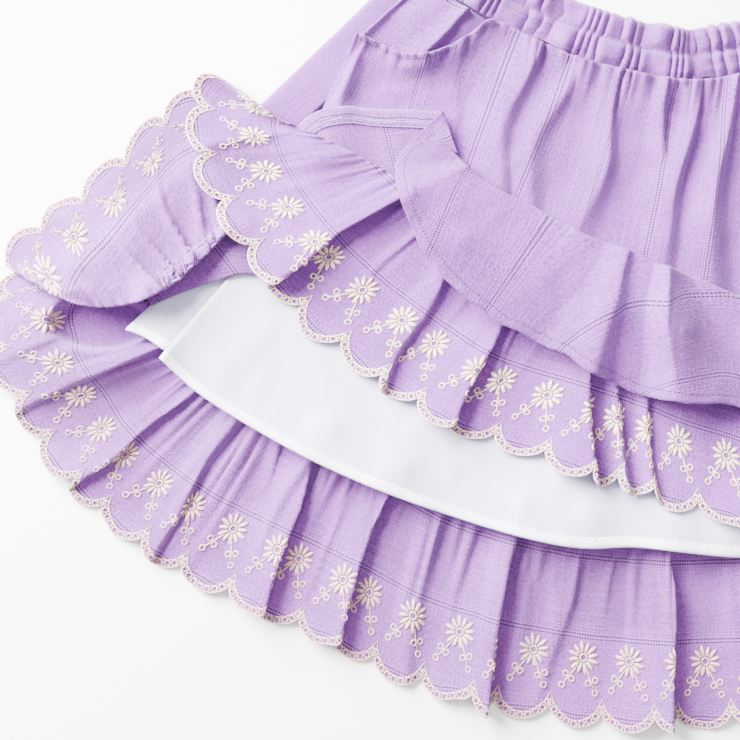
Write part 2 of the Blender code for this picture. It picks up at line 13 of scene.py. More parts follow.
import bmesh
import bpy
import numpy as np
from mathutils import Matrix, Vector


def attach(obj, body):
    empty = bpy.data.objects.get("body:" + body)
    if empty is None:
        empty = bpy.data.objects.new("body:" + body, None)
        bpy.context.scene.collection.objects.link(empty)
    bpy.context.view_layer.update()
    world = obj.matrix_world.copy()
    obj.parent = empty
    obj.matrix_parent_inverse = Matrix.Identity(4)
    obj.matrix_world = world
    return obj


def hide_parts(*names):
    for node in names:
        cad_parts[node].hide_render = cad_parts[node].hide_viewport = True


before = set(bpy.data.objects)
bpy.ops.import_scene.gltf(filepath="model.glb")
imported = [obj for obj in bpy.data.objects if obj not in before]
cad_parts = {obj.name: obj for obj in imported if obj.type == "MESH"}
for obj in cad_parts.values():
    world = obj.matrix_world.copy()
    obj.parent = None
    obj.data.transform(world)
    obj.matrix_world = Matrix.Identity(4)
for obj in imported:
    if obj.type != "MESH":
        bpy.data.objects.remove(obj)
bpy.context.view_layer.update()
MM = 0.001
LAYOUT_CENTRE = np.array([6.7, -0.95])
print("solids in the frame:", len(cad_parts))

# %% [markdown]
# ## Camera, floor and light
#
# The skirt is seen from straight above, so the camera looks down on the table with a long lens.
# It stands over the middle of the view, which is left of the skirt's own middle. The light is a
# large soft panel from the upper left, with a weak one from above and a weaker one from the
# right, as in a small studio.

# %% The camera looks straight down
VIEW_SIDE = 370.0
VIEW_CENTRE = np.array([-160.0, -23.0]) - LAYOUT_CENTRE
LENS = 110.0
SENSOR = 36.0
MID_HEIGHT = 8.0
camera_data = bpy.data.cameras.new("camera")
camera_data.lens = LENS
camera_data.sensor_width = SENSOR
camera_data.clip_start = 0.05
camera = bpy.data.objects.new("camera", camera_data)
bpy.context.scene.collection.objects.link(camera)
camera_height = VIEW_SIDE * LENS / SENSOR + MID_HEIGHT
camera.location = (VIEW_CENTRE[0] * MM, VIEW_CENTRE[1] * MM, camera_height * MM)
bpy.context.scene.camera = camera
print("camera height", round(camera_height), "mm")


# %% A soft studio
def area_light(lamp):
    """A square soft panel of light, turned to its aim."""
    data = bpy.data.lights.new(lamp.name, "AREA")
    data.shape = "RECTANGLE"
    data.size = data.size_y = lamp.side
    data.energy = lamp.power
    data.color = lamp.colour
    panel = bpy.data.objects.new(lamp.name, data)
    bpy.context.scene.collection.objects.link(panel)
    panel.location = lamp.place
    toward = Vector(lamp.aim) - Vector(lamp.place)
    panel.rotation_euler = toward.to_track_quat("-Z", "Y").to_euler()


Lamp = namedtuple("Lamp", "name place aim side power colour")
LAMPS = [
    Lamp("key", (-1.0, 0.75, 0.68), (-0.1, -0.02, 0.0), 1.0, 335.0, (1.0, 0.985, 0.965)),
    Lamp("top", (-0.1, 0.0, 1.7), (-0.1, 0.0, 0.0), 1.6, 22.0, (1.0, 1.0, 1.0)),
    Lamp("fill", (1.0, -0.6, 0.9), (-0.1, -0.02, 0.0), 0.9, 5.0, (0.96, 0.97, 1.0)),
]
ROOM_COLOUR = (1.0, 0.99, 0.93, 1.0)
ROOM_STRENGTH = 0.9
for lamp in LAMPS:
    area_light(lamp)
world = bpy.data.worlds.new("studio")
world.use_nodes = True
room = world.node_tree.nodes["Background"]
room.inputs["Color"].default_value = ROOM_COLOUR
room.inputs["Strength"].default_value = ROOM_STRENGTH
bpy.context.scene.world = world
FLOOR_HALF = 3.0
FLOOR_BELOW = 0.0003
FLOOR_COLOUR = (0.93, 0.94, 0.95, 1.0)


def finished(name, mesh):
    """Turns a bmesh into mesh data and frees it."""
    data = bpy.data.meshes.new(name)
    mesh.to_mesh(data)
    mesh.free()
    return data


def plain_floor():
    mesh = bmesh.new()
    bmesh.ops.create_grid(mesh, x_segments=1, y_segments=1, size=FLOOR_HALF)
    data = finished("floor", mesh)
    floor = bpy.data.objects.new("floor", data)
    bpy.context.scene.collection.objects.link(floor)
    floor.location.z = -FLOOR_BELOW
    paint = bpy.data.materials.new("pale floor")
    paint.use_nodes = True
    shader = paint.node_tree.nodes["Principled BSDF"]
    shader.inputs["Base Color"].default_value = FLOOR_COLOUR
    shader.inputs["Roughness"].default_value = 0.9
    data.materials.append(paint)


plain_floor()
print("floor and lights made")

# %% [markdown]
# ## A sheet between two edges
#
# Every piece of the skirt is a strip of cloth between an upper edge and a hem. A short table
# gives both edges, a row for each section, and a smooth curve runs through the rows. A second
# table gives the folds: where each crest starts and ends, how far the cloth climbs to it and
# drops from it, and how much cloth the fold swallows. This is quicker to steer than a cloth
# simulation, because the folds have to lie where they lie on the real skirt.

# %% Rows and folds
# A row holds a place on each edge, and how far the cloth stands off the heap at its upper edge,
# halfway down and at its hem. A fold holds the ends of its crest, how wide it climbs and drops,
# its height at both ends, the cloth that it swallows and how far it leans over.
Row = namedtuple("Row", "top_x top_y hem_x hem_y top_lift belly hem_lift", defaults=(0, 0, 0))
Fold = namedtuple("Fold", "top_x top_y hem_x hem_y rise fall top_height hem_height take lean")


def smooth_step(share):
    """From 0 to 1 with soft ends."""
    share = np.clip(share, 0.0, 1.0)
    return share * share * (3.0 - 2.0 * share)


def through_rows(rows, steps=16):
    """A smooth curve through every column of a table, as a dense array of rows."""
    given = np.array(rows, float)
    ends = np.vstack([2 * given[0] - given[1], given, 2 * given[-1] - given[-2]])
    dense = []
    for k in range(1, len(ends) - 2):
        before, start, end, after = ends[k - 1 : k + 3]
        for share in np.arange(steps) / steps:
            dense.append(
                start
                + 0.5 * share * (end - before)
                + share**2 * (before - 2.5 * start + 2 * end - 0.5 * after)
                + share**3 * (1.5 * (start - end) + 0.5 * (after - before))
            )
    dense.append(ends[-2])
    return np.array(dense)


NOISE_SIDE = 64


def value_noise(x, y, seed):
    """Soft random hills, one unit across and from -1 to 1, from a table with a fixed seed."""
    table = np.random.default_rng(seed).random((NOISE_SIDE, NOISE_SIDE)) * 2.0 - 1.0
    cell_x, cell_y = np.floor(x).astype(int), np.floor(y).astype(int)
    share_x, share_y = smooth_step(x - cell_x), smooth_step(y - cell_y)
    left, right = cell_x % NOISE_SIDE, (cell_x + 1) % NOISE_SIDE
    near, far = cell_y % NOISE_SIDE, (cell_y + 1) % NOISE_SIDE
    low = table[left, near] * (1 - share_x) + table[right, near] * share_x
    high = table[left, far] * (1 - share_x) + table[right, far] * share_x
    return low * (1 - share_y) + high * share_y


print("noise sample", round(float(value_noise(np.array([0.4]), np.array([0.7]), 1)[0]), 3))

# %% [markdown]
# ## The heap
#
# The pieces lie on each other, so a height map of the table remembers how high the heap has
# grown. A new sheet starts from the map under it and is smoothed upward until it bridges the
# hollows as real cotton does, and only then gets its own folds.

# %% A height map that grows with each sheet
GAP = 0.25
MAP_CELL = 1.0
MAP_HALF = np.array([420.0, 260.0])
MAP_REACH = 2


class Heap:
    """A height map of the table, with the top of whatever lies there."""

    def __init__(self):
        self.height = np.full(tuple((2 * MAP_HALF / MAP_CELL).astype(int) + 1), -GAP)

    def cell(self, x, y):
        """The column and the row of the map at a place on the table."""
        last_column, last_row = np.array(self.height.shape) - 1
        column = np.rint((x + MAP_HALF[0]) / MAP_CELL).astype(int)
        row = np.rint((y + MAP_HALF[1]) / MAP_CELL).astype(int)
        return np.clip(column, 0, last_column), np.clip(row, 0, last_row)

    def widened(self):
        """The highest cell within MAP_REACH cells of each cell."""
        wide = self.height.copy()
        near = range(-MAP_REACH, MAP_REACH + 1)
        for across in near:
            for along in near:
                wide = np.maximum(wide, np.roll(self.height, (across, along), (0, 1)))
        return wide

    def under(self, x, y, thickness, bridging):
        """The height of a sheet's middle that clears the heap and bridges its hollows."""
        needed = self.widened()[self.cell(x, y)] + GAP + thickness / 2
        middle = needed
        for _ in range(bridging):
            middle = np.maximum(needed, blurred(middle))
        return middle

    def add(self, points, thickness):
        """Marks the heap under every point of a sheet and halfway between its neighbours."""
        for axis in (0, 1):
            halves = (np.take(points, range(1, points.shape[axis]), axis)
                      + np.take(points, range(points.shape[axis] - 1), axis)) / 2
            for group in (points, halves):
                cells = self.cell(group[..., 0], group[..., 1])
                np.maximum.at(self.height, cells, group[..., 2] + thickness / 2)


def blurred(grid):
    """Each point averaged with its neighbours."""
    padded = np.pad(grid, 1, mode="edge")
    rows = (padded[:-2] + 2 * padded[1:-1] + padded[2:]) / 4
    return (rows[:, :-2] + 2 * rows[:, 1:-1] + rows[:, 2:]) / 4


heap = Heap()
print("heap map", heap.height.shape)

# %% [markdown]
# ## Laying a sheet
#
# A laid sheet keeps its points on a regular grid: one direction runs along the hem, the other
# from the upper edge to the hem. It also keeps the cloth's own measures, along the hem and up
# from it, which run faster where a fold swallows cloth. Stitches and embroidery are drawn flat
# in those measures and then carried onto the folds.

# %% A laid sheet of cloth
COTTON = 0.5
LINING = 0.35
EDGE_SAMPLES = 4000
# Folds: a factor on all of them, how far they wander, how narrow they start at the upper seam,
# how sharply they climb and drop, and the share of the depth where their cloth is measured.
FOLD_SIZE = 1.1
BEND = 0.045
BEND_SEED = 71
NARROW_TOP = 0.45
CLIMB_POWER = 1.7
DROP_POWER = 2.2
MEASURED_AT = 0.85
# Gathers, wrinkles and the uneven hem: the lengths of their random waves on the cloth.
GATHER_SIZE = 1.7
GATHER_PATCH = 7.0
CRUMPLE_LONG = (17.0, 23.0)
CRUMPLE_SHORT = (7.0, 12.0)
WAVE_LENGTHS = (21.0, 9.0)
CURL_LENGTH = 8.0
CURL_HEIGHT = 0.55
# Hollows: how much of the height is pressed down, and the soft share of their rim.
HOLLOW_DEPTH = 0.95
HOLLOW_RIM = 0.22


class Sheet:
    """A strip of cloth between two edges, laid on the heap with its folds.

    Gathers have a height, a reach down the cloth and a width. Crowding squeezes the measures up
    from the hem, hollows press the sheet down, and a scallop gives the repeat that the cloth's
    length is rounded to.
    """

    def __init__(self, rows, depth, folds=(), pitch=1.7, steps=40, thickness=COTTON,
                 gathers=(0.0, 1.0, 6.0), wrinkle=0.25, scallop=None, seed=1, hollows=(),
                 crowding=((0.0, 0.0), (1.0, 1.0)), spread=0.55, softness=(0.1, 0.4), swell=0.0,
                 bridging=60, uneven=0.0):
        self.columns = through_rows(rows)
        hem_steps = np.hypot(*np.diff(self.columns[:, 2:4], axis=0).T)
        top_steps = np.hypot(*np.diff(self.columns[:, 0:2], axis=0).T)
        self.hem_distance = np.concatenate([[0.0], np.cumsum(hem_steps)])
        self.top_distance = np.concatenate([[0.0], np.cumsum(top_steps)])
        self.folds = folds
        self.depth = depth
        self.thickness = thickness
        self.scallop = scallop
        self.hollows = hollows
        self.crowding = np.array(crowding).T
        self.spread = spread
        self.softness = softness
        self.swell = swell
        self.bridging = bridging
        self.uneven = uneven
        dense = np.linspace(0.0, self.hem_distance[-1], EDGE_SAMPLES)
        measured = self.cloth_at(dense)
        length = measured[-1]
        if scallop:
            self.count = max(1, round(length / scallop.pitch))
            self.length = self.count * scallop.pitch
            stations = self.count * scallop.columns
        else:
            self.length = length
            stations = max(4, round(length / pitch))
        self.cloth = np.linspace(0.0, self.length, stations + 1)
        self.along = np.interp(self.cloth / self.length * length, measured, dense)
        sides = [np.interp(self.along, self.hem_distance, side) for side in self.columns.T[:4]]
        self.reach = np.hypot(sides[2] - sides[0], sides[3] - sides[1])
        self.steps = steps
        self.lay(gathers, wrinkle, seed)

    def cloth_at(self, along):
        """The cloth's own length along the folded hem, with what the folds have swallowed."""
        height, shift = self.fold_shape(along, np.full(along.shape, MEASURED_AT))
        x = np.interp(along, self.hem_distance, self.columns[:, 2])
        y = np.interp(along, self.hem_distance, self.columns[:, 3])
        flat = np.hypot(np.gradient(x), np.gradient(y)) + np.gradient(shift)
        length = np.cumsum(np.hypot(flat, np.gradient(height)))
        swallowed = np.zeros_like(along, float)
        for fold in self.folds:
            crest = self.hem_of(fold.hem_x, fold.hem_y)
            swallowed = swallowed + fold.take * smooth_step((along - crest + 2) / (fold.fall + 4))
        return length - length[0] + swallowed

    def hem_of(self, x, y):
        """Where a point near the hem is, as a distance along the hem."""
        away = np.hypot(*(self.columns[:, 2:4] - (x, y)).T)
        return self.hem_distance[np.argmin(away)]

    def top_of(self, x, y):
        """Where a point near the upper edge is, as a distance along the hem."""
        away = np.hypot(*(self.columns[:, 0:2] - (x, y)).T)
        return self.hem_distance[np.argmin(away)]

    def fold_shape(self, along, down):
        """The folds' height, and how far each one leans over its foot."""
        height = np.zeros_like(along)
        shift = np.zeros_like(along)
        soft = self.softness[0] + (self.softness[1] - self.softness[0]) * down
        for k, fold in enumerate(self.folds):
            top = self.top_of(fold.top_x, fold.top_y)
            crest = top + (self.hem_of(fold.hem_x, fold.hem_y) - top) * down
            bend = value_noise(down * 2.5, 0 * down + 3.7 * k, BEND_SEED) * np.sin(np.pi * down)
            past = along - crest - BEND * self.depth * bend
            size = fold.top_height + (fold.hem_height - fold.top_height) * down
            size = size * (1.0 + self.swell * np.sin(np.pi * down))
            narrow = NARROW_TOP + self.spread * down
            climb = np.clip(1.0 + past / (fold.rise * narrow), 0.0, 1.0)
            left = np.clip(1.0 - past / (fold.fall * narrow), 0.0, 1.0)
            drop = (1.0 - soft) * left**DROP_POWER + soft * smooth_step(left)
            slope = (1.0 - soft) * climb**CLIMB_POWER + soft * smooth_step(climb)
            bump = FOLD_SIZE * size * np.where(past < 0.0, slope, drop)
            leaning = fold.lean * bump * (1.0 if self.spread < 1.0 else 1.0 - down)
            shift = np.where(bump > height, leaning, shift)
            height = np.maximum(height, bump)
        return height, shift

    def lay(self, gathers, wrinkle, seed):
        """Places every point of the sheet: its folds, gathers, wrinkles and uneven hem."""
        along, down = np.meshgrid(self.along, np.linspace(0.0, 1.0, self.steps + 1), indexing="ij")
        read = [np.interp(along, self.hem_distance, column) for column in self.columns.T]
        top_x, top_y, hem_x, hem_y, top_lift, belly, hem_lift = read
        bumps, shift = self.fold_shape(along, down)
        wave = value_noise(along / WAVE_LENGTHS[0], 0 * along, seed + 5)
        wave = wave + 0.5 * value_noise(along / WAVE_LENGTHS[1], 0 * along, seed + 6)
        reached = down + self.uneven * wave * down**3 / self.depth
        x = top_x + (hem_x - top_x) * reached
        y = top_y + (hem_y - top_y) * reached
        run_x, run_y = np.gradient(x, axis=0), np.gradient(y, axis=0)
        run = np.maximum(np.hypot(run_x, run_y), 1e-6)
        x, y = x + shift * run_x / run, y + shift * run_y / run
        lift = top_lift * (1 - down) + hem_lift * down + belly * 4 * down * (1 - down)
        cloth = np.broadcast_to(self.cloth[:, None], x.shape)
        height, fade, wide = gathers
        ridge = value_noise(cloth / wide, down * 1.5, seed)
        ridge = ridge + 0.6 * value_noise(cloth / wide * 2.1, down * 2.0, seed + 1)
        reach = fade * (0.9 + 1.1 * value_noise(cloth / GATHER_PATCH, 0 * cloth, seed + 8))
        reach = np.maximum(reach, 0.3 * fade)
        below = down * self.depth
        fading = np.exp(-((below / reach) ** 1.5))
        small = GATHER_SIZE * height * fading * np.abs(ridge) ** 0.6
        crumple = value_noise(cloth / CRUMPLE_LONG[0], below / CRUMPLE_LONG[1], seed + 2)
        crumple = crumple + 0.5 * value_noise(cloth / CRUMPLE_SHORT[0], below / CRUMPLE_SHORT[1],
                                              seed + 3)
        curl = value_noise(along / CURL_LENGTH, down * 3.0, seed + 7)
        above = lift + bumps + small + wrinkle * (1.0 + crumple)
        above = above + CURL_HEIGHT * self.uneven * (1.0 + curl) * down**6
        for centre_x, centre_y, wide, tall in self.hollows:
            away = np.hypot((x - centre_x) / wide, (y - centre_y) / tall)
            above = above * (1.0 - HOLLOW_DEPTH * smooth_step((1.0 - away) / HOLLOW_RIM))
        z = heap.under(x, y, self.thickness, self.bridging) + above
        self.points = np.stack([x, y, z], axis=-1)
        across = np.gradient(self.points, axis=0)
        downward = np.gradient(self.points, axis=1)
        normal = np.cross(across, downward)
        normal = normal / np.maximum(np.linalg.norm(normal, axis=-1, keepdims=True), 1e-9)
        self.normals = normal * np.where(np.mean(normal[..., 2]) < 0, -1.0, 1.0)

    def sample(self, i, j):
        """Points and normals at fractions of the grid's rows and columns."""
        i = np.clip(i, 0.0, self.points.shape[0] - 1.0001)
        j = np.clip(j, 0.0, self.points.shape[1] - 1.0001)
        a, b = i.astype(int), j.astype(int)
        s, t = (i - a)[..., None], (j - b)[..., None]
        found = []
        for grid in (self.points, self.normals):
            found.append(grid[a, b] * (1 - s) * (1 - t) + grid[a + 1, b] * s * (1 - t)
                         + grid[a, b + 1] * (1 - s) * t + grid[a + 1, b + 1] * s * t)
        return found

    def on_cloth(self, cloth, up_from_hem, raised):
        """Carries flat measures onto the laid cloth: along the hem, up from it, and off it."""
        i = np.interp(cloth, self.cloth, np.arange(len(self.cloth)))
        reach = np.interp(cloth, self.cloth, self.reach)
        share = np.interp(up_from_hem / reach, *self.crowding)
        j = (1.0 - share) * self.steps
        points, normals = self.sample(i, j)
        return points + normals * np.asarray(raised)[..., None]


def to_frame(points):
    """Millimetres on the table's plane to metres in the frame."""
    moved = np.array(points, float)
    moved[..., :2] -= LAYOUT_CENTRE
    return moved * MM


# %% [markdown]
# ## From sheet to mesh
#
# Blender's grid primitive gives the faces, and its corners are then moved onto the sheet. A
# Solidify modifier gives the cloth its real thickness. The UV map holds the cloth's own
# measures in metres, so the weave follows every fold.

# %% Turning a sheet into a mesh
def places_of(data):
    """Every vertex's place, a row of three numbers each."""
    places = np.zeros(len(data.vertices) * 3)
    data.vertices.foreach_get("co", places)
    return places.reshape(-1, 3)


def grid_indices(data, columns, rows):
    """For each vertex of a grid made by the primitive, its column and row."""
    places = places_of(data)
    column = np.rint((places[:, 0] + 1) / 2 * columns).astype(int)
    row = np.rint((places[:, 1] + 1) / 2 * rows).astype(int)
    return column, row


def grid_mesh(name, columns, rows):
    """A flat grid from -1 to 1, still to be moved onto a sheet."""
    mesh = bmesh.new()
    bmesh.ops.create_grid(mesh, x_segments=columns, y_segments=rows, size=1.0)
    return finished(name, mesh)


def write_uv(data, u, v):
    """Stores the cloth's measures of each vertex, in metres, at the corners of its faces."""
    corners = np.zeros(len(data.loops), int)
    data.loops.foreach_get("vertex_index", corners)
    layer = data.uv_layers[0] if data.uv_layers else data.uv_layers.new(name="cloth")
    layer.data.foreach_set("uv", (np.stack([u, v], axis=-1)[corners] * MM).ravel())


def face_up(data):
    """Turns the faces over if they look down."""
    total = np.zeros(len(data.polygons) * 3)
    data.polygons.foreach_get("normal", total)
    if total.reshape(-1, 3)[:, 2].sum() < 0:
        data.flip_normals()


def show(name, data, material, thickness=0.0, node=None):
    """Puts a finished mesh in the scene as a piece that rides on the skirt's one body."""
    data.shade_smooth()
    data.materials.append(material)
    piece = bpy.data.objects.new(name, data)
    bpy.context.scene.collection.objects.link(piece)
    if thickness:
        wall = piece.modifiers.new("wall", "SOLIDIFY")
        wall.thickness = thickness * MM
        wall.offset = 0.0
    if node:
        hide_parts(node)
    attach(piece, "root")
    return piece


def cloth_piece(node, sheet, material, uv_of):
    """The shown cloth: the sheet's grid, cut to its scallops, with a wall and a UV map."""
    name = node + "_cloth"
    columns, rows = sheet.points.shape[0] - 1, sheet.points.shape[1] - 1
    cloth, down = np.meshgrid(sheet.cloth, np.linspace(0.0, 1.0, rows + 1), indexing="ij")
    reach = down
    if sheet.scallop:
        back = sheet.scallop.edge(cloth / sheet.scallop.pitch)
        reach = down - back / sheet.reach[:, None] * down**3
    points, _ = sheet.sample(np.broadcast_to(np.arange(columns + 1.0)[:, None], reach.shape),
                             reach * sheet.steps)
    heap.add(points, sheet.thickness)
    data = grid_mesh(name, columns, rows)
    column, row = grid_indices(data, columns, rows)
    placed = to_frame(points[column, row])
    data.vertices.foreach_set("co", placed.ravel())
    share = np.interp(1.0 - reach, sheet.crowding[1], sheet.crowding[0])
    u, v = uv_of(cloth, share * sheet.reach[:, None])
    write_uv(data, u[column, row], v[column, row])
    data.update()
    face_up(data)
    piece = show(name, data, material, sheet.thickness, node)
    print(name, len(data.polygons), "faces")
    return piece


def stripes_along_hem(cloth, up):
    return up, cloth


def stripes_down_cloth(cloth, up):
    return cloth, up


# %% [markdown]
# ## Lilac cotton
#
# The cotton is a dobby weave: a soft crepe ground with ladder stripes, where pairs of cords
# leave two rows of small open holes between them, and rows of tiny raised dots beside each
# ladder. Faint zigzag rows come and go in the ground. Node math on the cloth's own measures
# draws them at their real size. Each shader reads one UV map, so the ladders turn with the
# cloth.

# %% Node helpers
class Recipe:
    """Short names for the nodes that a cloth finish needs."""

    def __init__(self, name):
        self.material = bpy.data.materials.new(name)
        self.material.use_nodes = True
        self.tree = self.material.node_tree
        self.shader = self.tree.nodes["Principled BSDF"]

    def node(self, kind, **settings):
        made = self.tree.nodes.new(kind)
        for key, value in settings.items():
            setattr(made, key, value)
        return made

    def plug(self, value, socket):
        if isinstance(value, bpy.types.NodeSocket):
            self.tree.links.new(value, socket)
        else:
            socket.default_value = value

    def math(self, operation, a, b=0.0):
        made = self.node("ShaderNodeMath", operation=operation)
        self.plug(a, made.inputs[0])
        self.plug(b, made.inputs[1])
        return made.outputs[0]

    def times(self, a, b):
        return self.math("MULTIPLY", a, b)

    def away_from(self, value, middle):
        """How far a value is from a middle, to either side."""
        return self.math("ABSOLUTE", self.math("SUBTRACT", value, middle))

    def off_middle(self, value, pitch):
        """How far a value is from the middle of its repeat, as a share of the pitch."""
        return self.away_from(self.math("FRACT", self.math("DIVIDE", value, pitch)), 0.5)

    def blend(self, *layers):
        """The sum of patterns, each with its weight."""
        total = 0.0
        for pattern, weight in layers:
            total = self.math("ADD", self.times(pattern, weight), total)
        return total

    def fade(self, value, start, end, low=1.0, high=0.0):
        """low below start, high above end, and smooth between them."""
        made = self.node("ShaderNodeMapRange", interpolation_type="SMOOTHSTEP")
        self.plug(value, made.inputs["Value"])
        for key, number in zip(("From Min", "From Max", "To Min", "To Max"),
                               (start, end, low, high)):
            made.inputs[key].default_value = number
        return made.outputs["Result"]

    def noise(self, scale, seed_shift, detail=2.0, roughness=0.5):
        """Noise on the cloth, with scale in hills per millimetre across and along."""
        place = self.node("ShaderNodeMapping")
        self.plug(self.uv, place.inputs["Vector"])
        place.inputs["Scale"].default_value = (scale[0] * 1000, scale[1] * 1000, 1.0)
        place.inputs["Location"].default_value = (seed_shift, seed_shift, 0.0)
        made = self.node("ShaderNodeTexNoise")
        self.plug(place.outputs["Vector"], made.inputs["Vector"])
        made.inputs["Scale"].default_value = 1.0
        made.inputs["Detail"].default_value = detail
        made.inputs["Roughness"].default_value = roughness
        return made.outputs["Fac"]

    def read_cloth(self):
        """The cloth's measures in millimetres: across the stripes and along them."""
        source = self.node("ShaderNodeUVMap")
        self.uv = source.outputs["UV"]
        split = self.node("ShaderNodeSeparateXYZ")
        self.plug(self.uv, split.inputs[0])
        return (self.math("MULTIPLY", split.outputs["X"], 1000.0),
                self.math("MULTIPLY", split.outputs["Y"], 1000.0))

    def finish(self, colour, **values):
        """Plugs the colour in and sets the shader's other inputs."""
        self.plug(colour, self.shader.inputs["Base Color"])
        for key, value in values.items():
            self.shader.inputs[key.replace("_", " ")].default_value = value
        return self.material

    def mix(self, share, first, second):
        made = self.node("ShaderNodeMix", data_type="RGBA")
        self.plug(share, made.inputs["Factor"])
        self.plug(first, made.inputs["A"])
        self.plug(second, made.inputs["B"])
        return made.outputs["Result"]

    def bump(self, height, distance, strength):
        made = self.node("ShaderNodeBump")
        self.plug(height, made.inputs["Height"])
        made.inputs["Distance"].default_value = distance
        made.inputs["Strength"].default_value = strength
        self.plug(made.outputs["Normal"], self.shader.inputs["Normal"])


# %% The dobby cotton with its ladder stripes
LADDER_PITCH = 40.0
CORD_AT = 1.6
DOT_ROWS = 1.9
DOT_PITCH = 2.3
DOTS_FROM = (2.4, 3.0)
DOTS_TO = (5.5, 7.5)
ZIGZAG_PITCH = 5.0
ZIGZAG_LENGTH = 3.6
ZIGZAG_SWAY = 1.3
ZIGZAG_LINE = (0.3, 0.75)
PALER = 1.5
# How deep the painted shade in the ladders' holes is, as a share of the deep tone.
HOLE_SHADE_FACTOR = 0.22


def dobby_cotton(name, light, deep, ladder_start, hole_row, hole_pitch):
    """The lilac weave, with the ladders' first stripe, the holes' row and the holes' pitch."""
    recipe = Recipe(name)
    across, along = recipe.read_cloth()
    from_ladder = recipe.math("SUBTRACT", across, ladder_start - LADDER_PITCH / 2)
    away = recipe.times(recipe.off_middle(from_ladder, LADDER_PITCH), LADDER_PITCH)
    step = recipe.off_middle(along, hole_pitch)
    hole = recipe.times(recipe.fade(recipe.away_from(away, hole_row), 0.3, 0.55),
                        recipe.fade(step, 0.2, 0.38))
    cord = recipe.fade(recipe.away_from(away, CORD_AT), 0.2, 0.6)
    dots = recipe.times(recipe.fade(recipe.off_middle(away, DOT_ROWS), 0.12, 0.35),
                        recipe.fade(recipe.off_middle(along, DOT_PITCH), 0.12, 0.35))
    beside = recipe.times(recipe.fade(away, *DOTS_TO), recipe.fade(away, *DOTS_FROM, 0.0, 1.0))
    dots = recipe.times(dots, beside)
    sway = recipe.times(recipe.off_middle(along, ZIGZAG_LENGTH), 2 * ZIGZAG_SWAY)
    zigzag = recipe.off_middle(recipe.math("ADD", across, sway), ZIGZAG_PITCH)
    zigzag = recipe.fade(zigzag, *(width / ZIGZAG_PITCH for width in ZIGZAG_LINE))
    patches = recipe.fade(recipe.noise((0.05, 0.04), 17.0, 1.0), 0.45, 0.6, 0.0, 1.0)
    zigzag = recipe.times(zigzag, patches)
    middle = recipe.times(recipe.fade(away, 0.15, 0.5), recipe.fade(step, 0.2, 0.45, 0.25, 1.0))
    crepe = recipe.noise((0.85, 0.55), 3.0, 3.0, 0.7)
    ribs = recipe.noise((0.8, 0.07), 11.0)
    weave = recipe.noise((2.2, 2.2), 5.0, 1.0)
    cloud = recipe.noise((0.02, 0.02), 7.0)
    # The tone follows mostly the crepe noise that also raises the relief below, so the crepe's
    # dips are painted deeper: partly painted shade, partly a random cloud of tone.
    tone = recipe.blend((crepe, 0.58), (ribs, 0.15), (cloud, 0.27))
    ground = recipe.mix(recipe.fade(tone, 0.37, 0.61, 0.0, 1.0), deep, light)
    pale = tuple(min(1.0, c * PALER + 0.03) for c in light[:3]) + (1.0,)
    # The open holes are painted near black: painted shade seen through the holes.
    hole_shade = tuple(c * HOLE_SHADE_FACTOR for c in deep[:3]) + (1.0,)
    for pattern, share, colour in ((cord, 0.35, pale), (dots, 0.35, pale), (zigzag, 0.16, pale),
                                   (middle, 0.8, pale), (hole, 0.95, hole_shade)):
        ground = recipe.mix(recipe.times(pattern, share), ground, colour)
    relief = recipe.blend((crepe, 0.85), (ribs, 0.2), (weave, 0.18), (cord, 0.08), (dots, 0.25),
                          (zigzag, 0.14), (hole, -0.25))
    recipe.bump(relief, 0.0008, 0.85)
    return recipe.finish(ground, Roughness=0.86, Specular_IOR_Level=0.25, Sheen_Weight=0.25,
                         Sheen_Roughness=0.5)


# The crepe ground's light and deep tones; the deep one lands in the crepe's dips as painted shade.
LILAC_LIGHT = (0.215, 0.052, 0.335, 1.0)
LILAC_DEEP = (0.11, 0.030, 0.175, 1.0)
lilac = dobby_cotton("lilac cotton", LILAC_LIGHT, LILAC_DEEP, 0.0, 0.9, 1.35)
lilac_tier = dobby_cotton("lilac cotton of the tier", LILAC_LIGHT, LILAC_DEEP, 45.5, 0.95, 1.45)
lilac_wrong = dobby_cotton("wrong side of the lilac cotton", (0.213, 0.057, 0.32, 1.0),
                           (0.115, 0.033, 0.172, 1.0), 45.5, 0.95, 1.45)
print("three lilac finishes made")


# %% Lining and thread
def plain_cotton(name, light, deep):
    """Fine plain lawn, with slubs along the cloth and a soft cloud in its tone."""
    recipe = Recipe(name)
    recipe.read_cloth()
    weave = recipe.noise((2.6, 2.6), 2.0, 1.0)
    slub = recipe.noise((0.06, 1.3), 4.0)
    cloud = recipe.noise((0.018, 0.018), 9.0, 3.0)
    tone = recipe.fade(recipe.blend((slub, 0.4), (cloud, 0.6)), 0.35, 0.65, 0.0, 1.0)
    recipe.bump(recipe.blend((weave, 0.5), (slub, 0.5)), 0.0003, 0.4)
    return recipe.finish(recipe.mix(tone, deep, light), Roughness=0.8, Specular_IOR_Level=0.3)


def thread_finish(name, light, deep):
    """Fluffy thread, mottled light and deep, on Object coordinates."""
    recipe = Recipe(name)
    place = recipe.node("ShaderNodeTexCoord")
    recipe.uv = place.outputs["Object"]
    fluff = recipe.noise((0.85, 0.85), 1.0, 2.0, 0.7)
    # The mottled tone follows the fluff noise that also makes the bump, so the thread's dips are
    # painted deeper: partly painted shade, partly the thread's own uneven tone.
    tone = recipe.fade(fluff, 0.37, 0.56, 0.0, 1.0)
    recipe.bump(fluff, 0.0005, 0.8)
    return recipe.finish(recipe.mix(tone, deep, light), Roughness=0.6, Sheen_Weight=0.1)


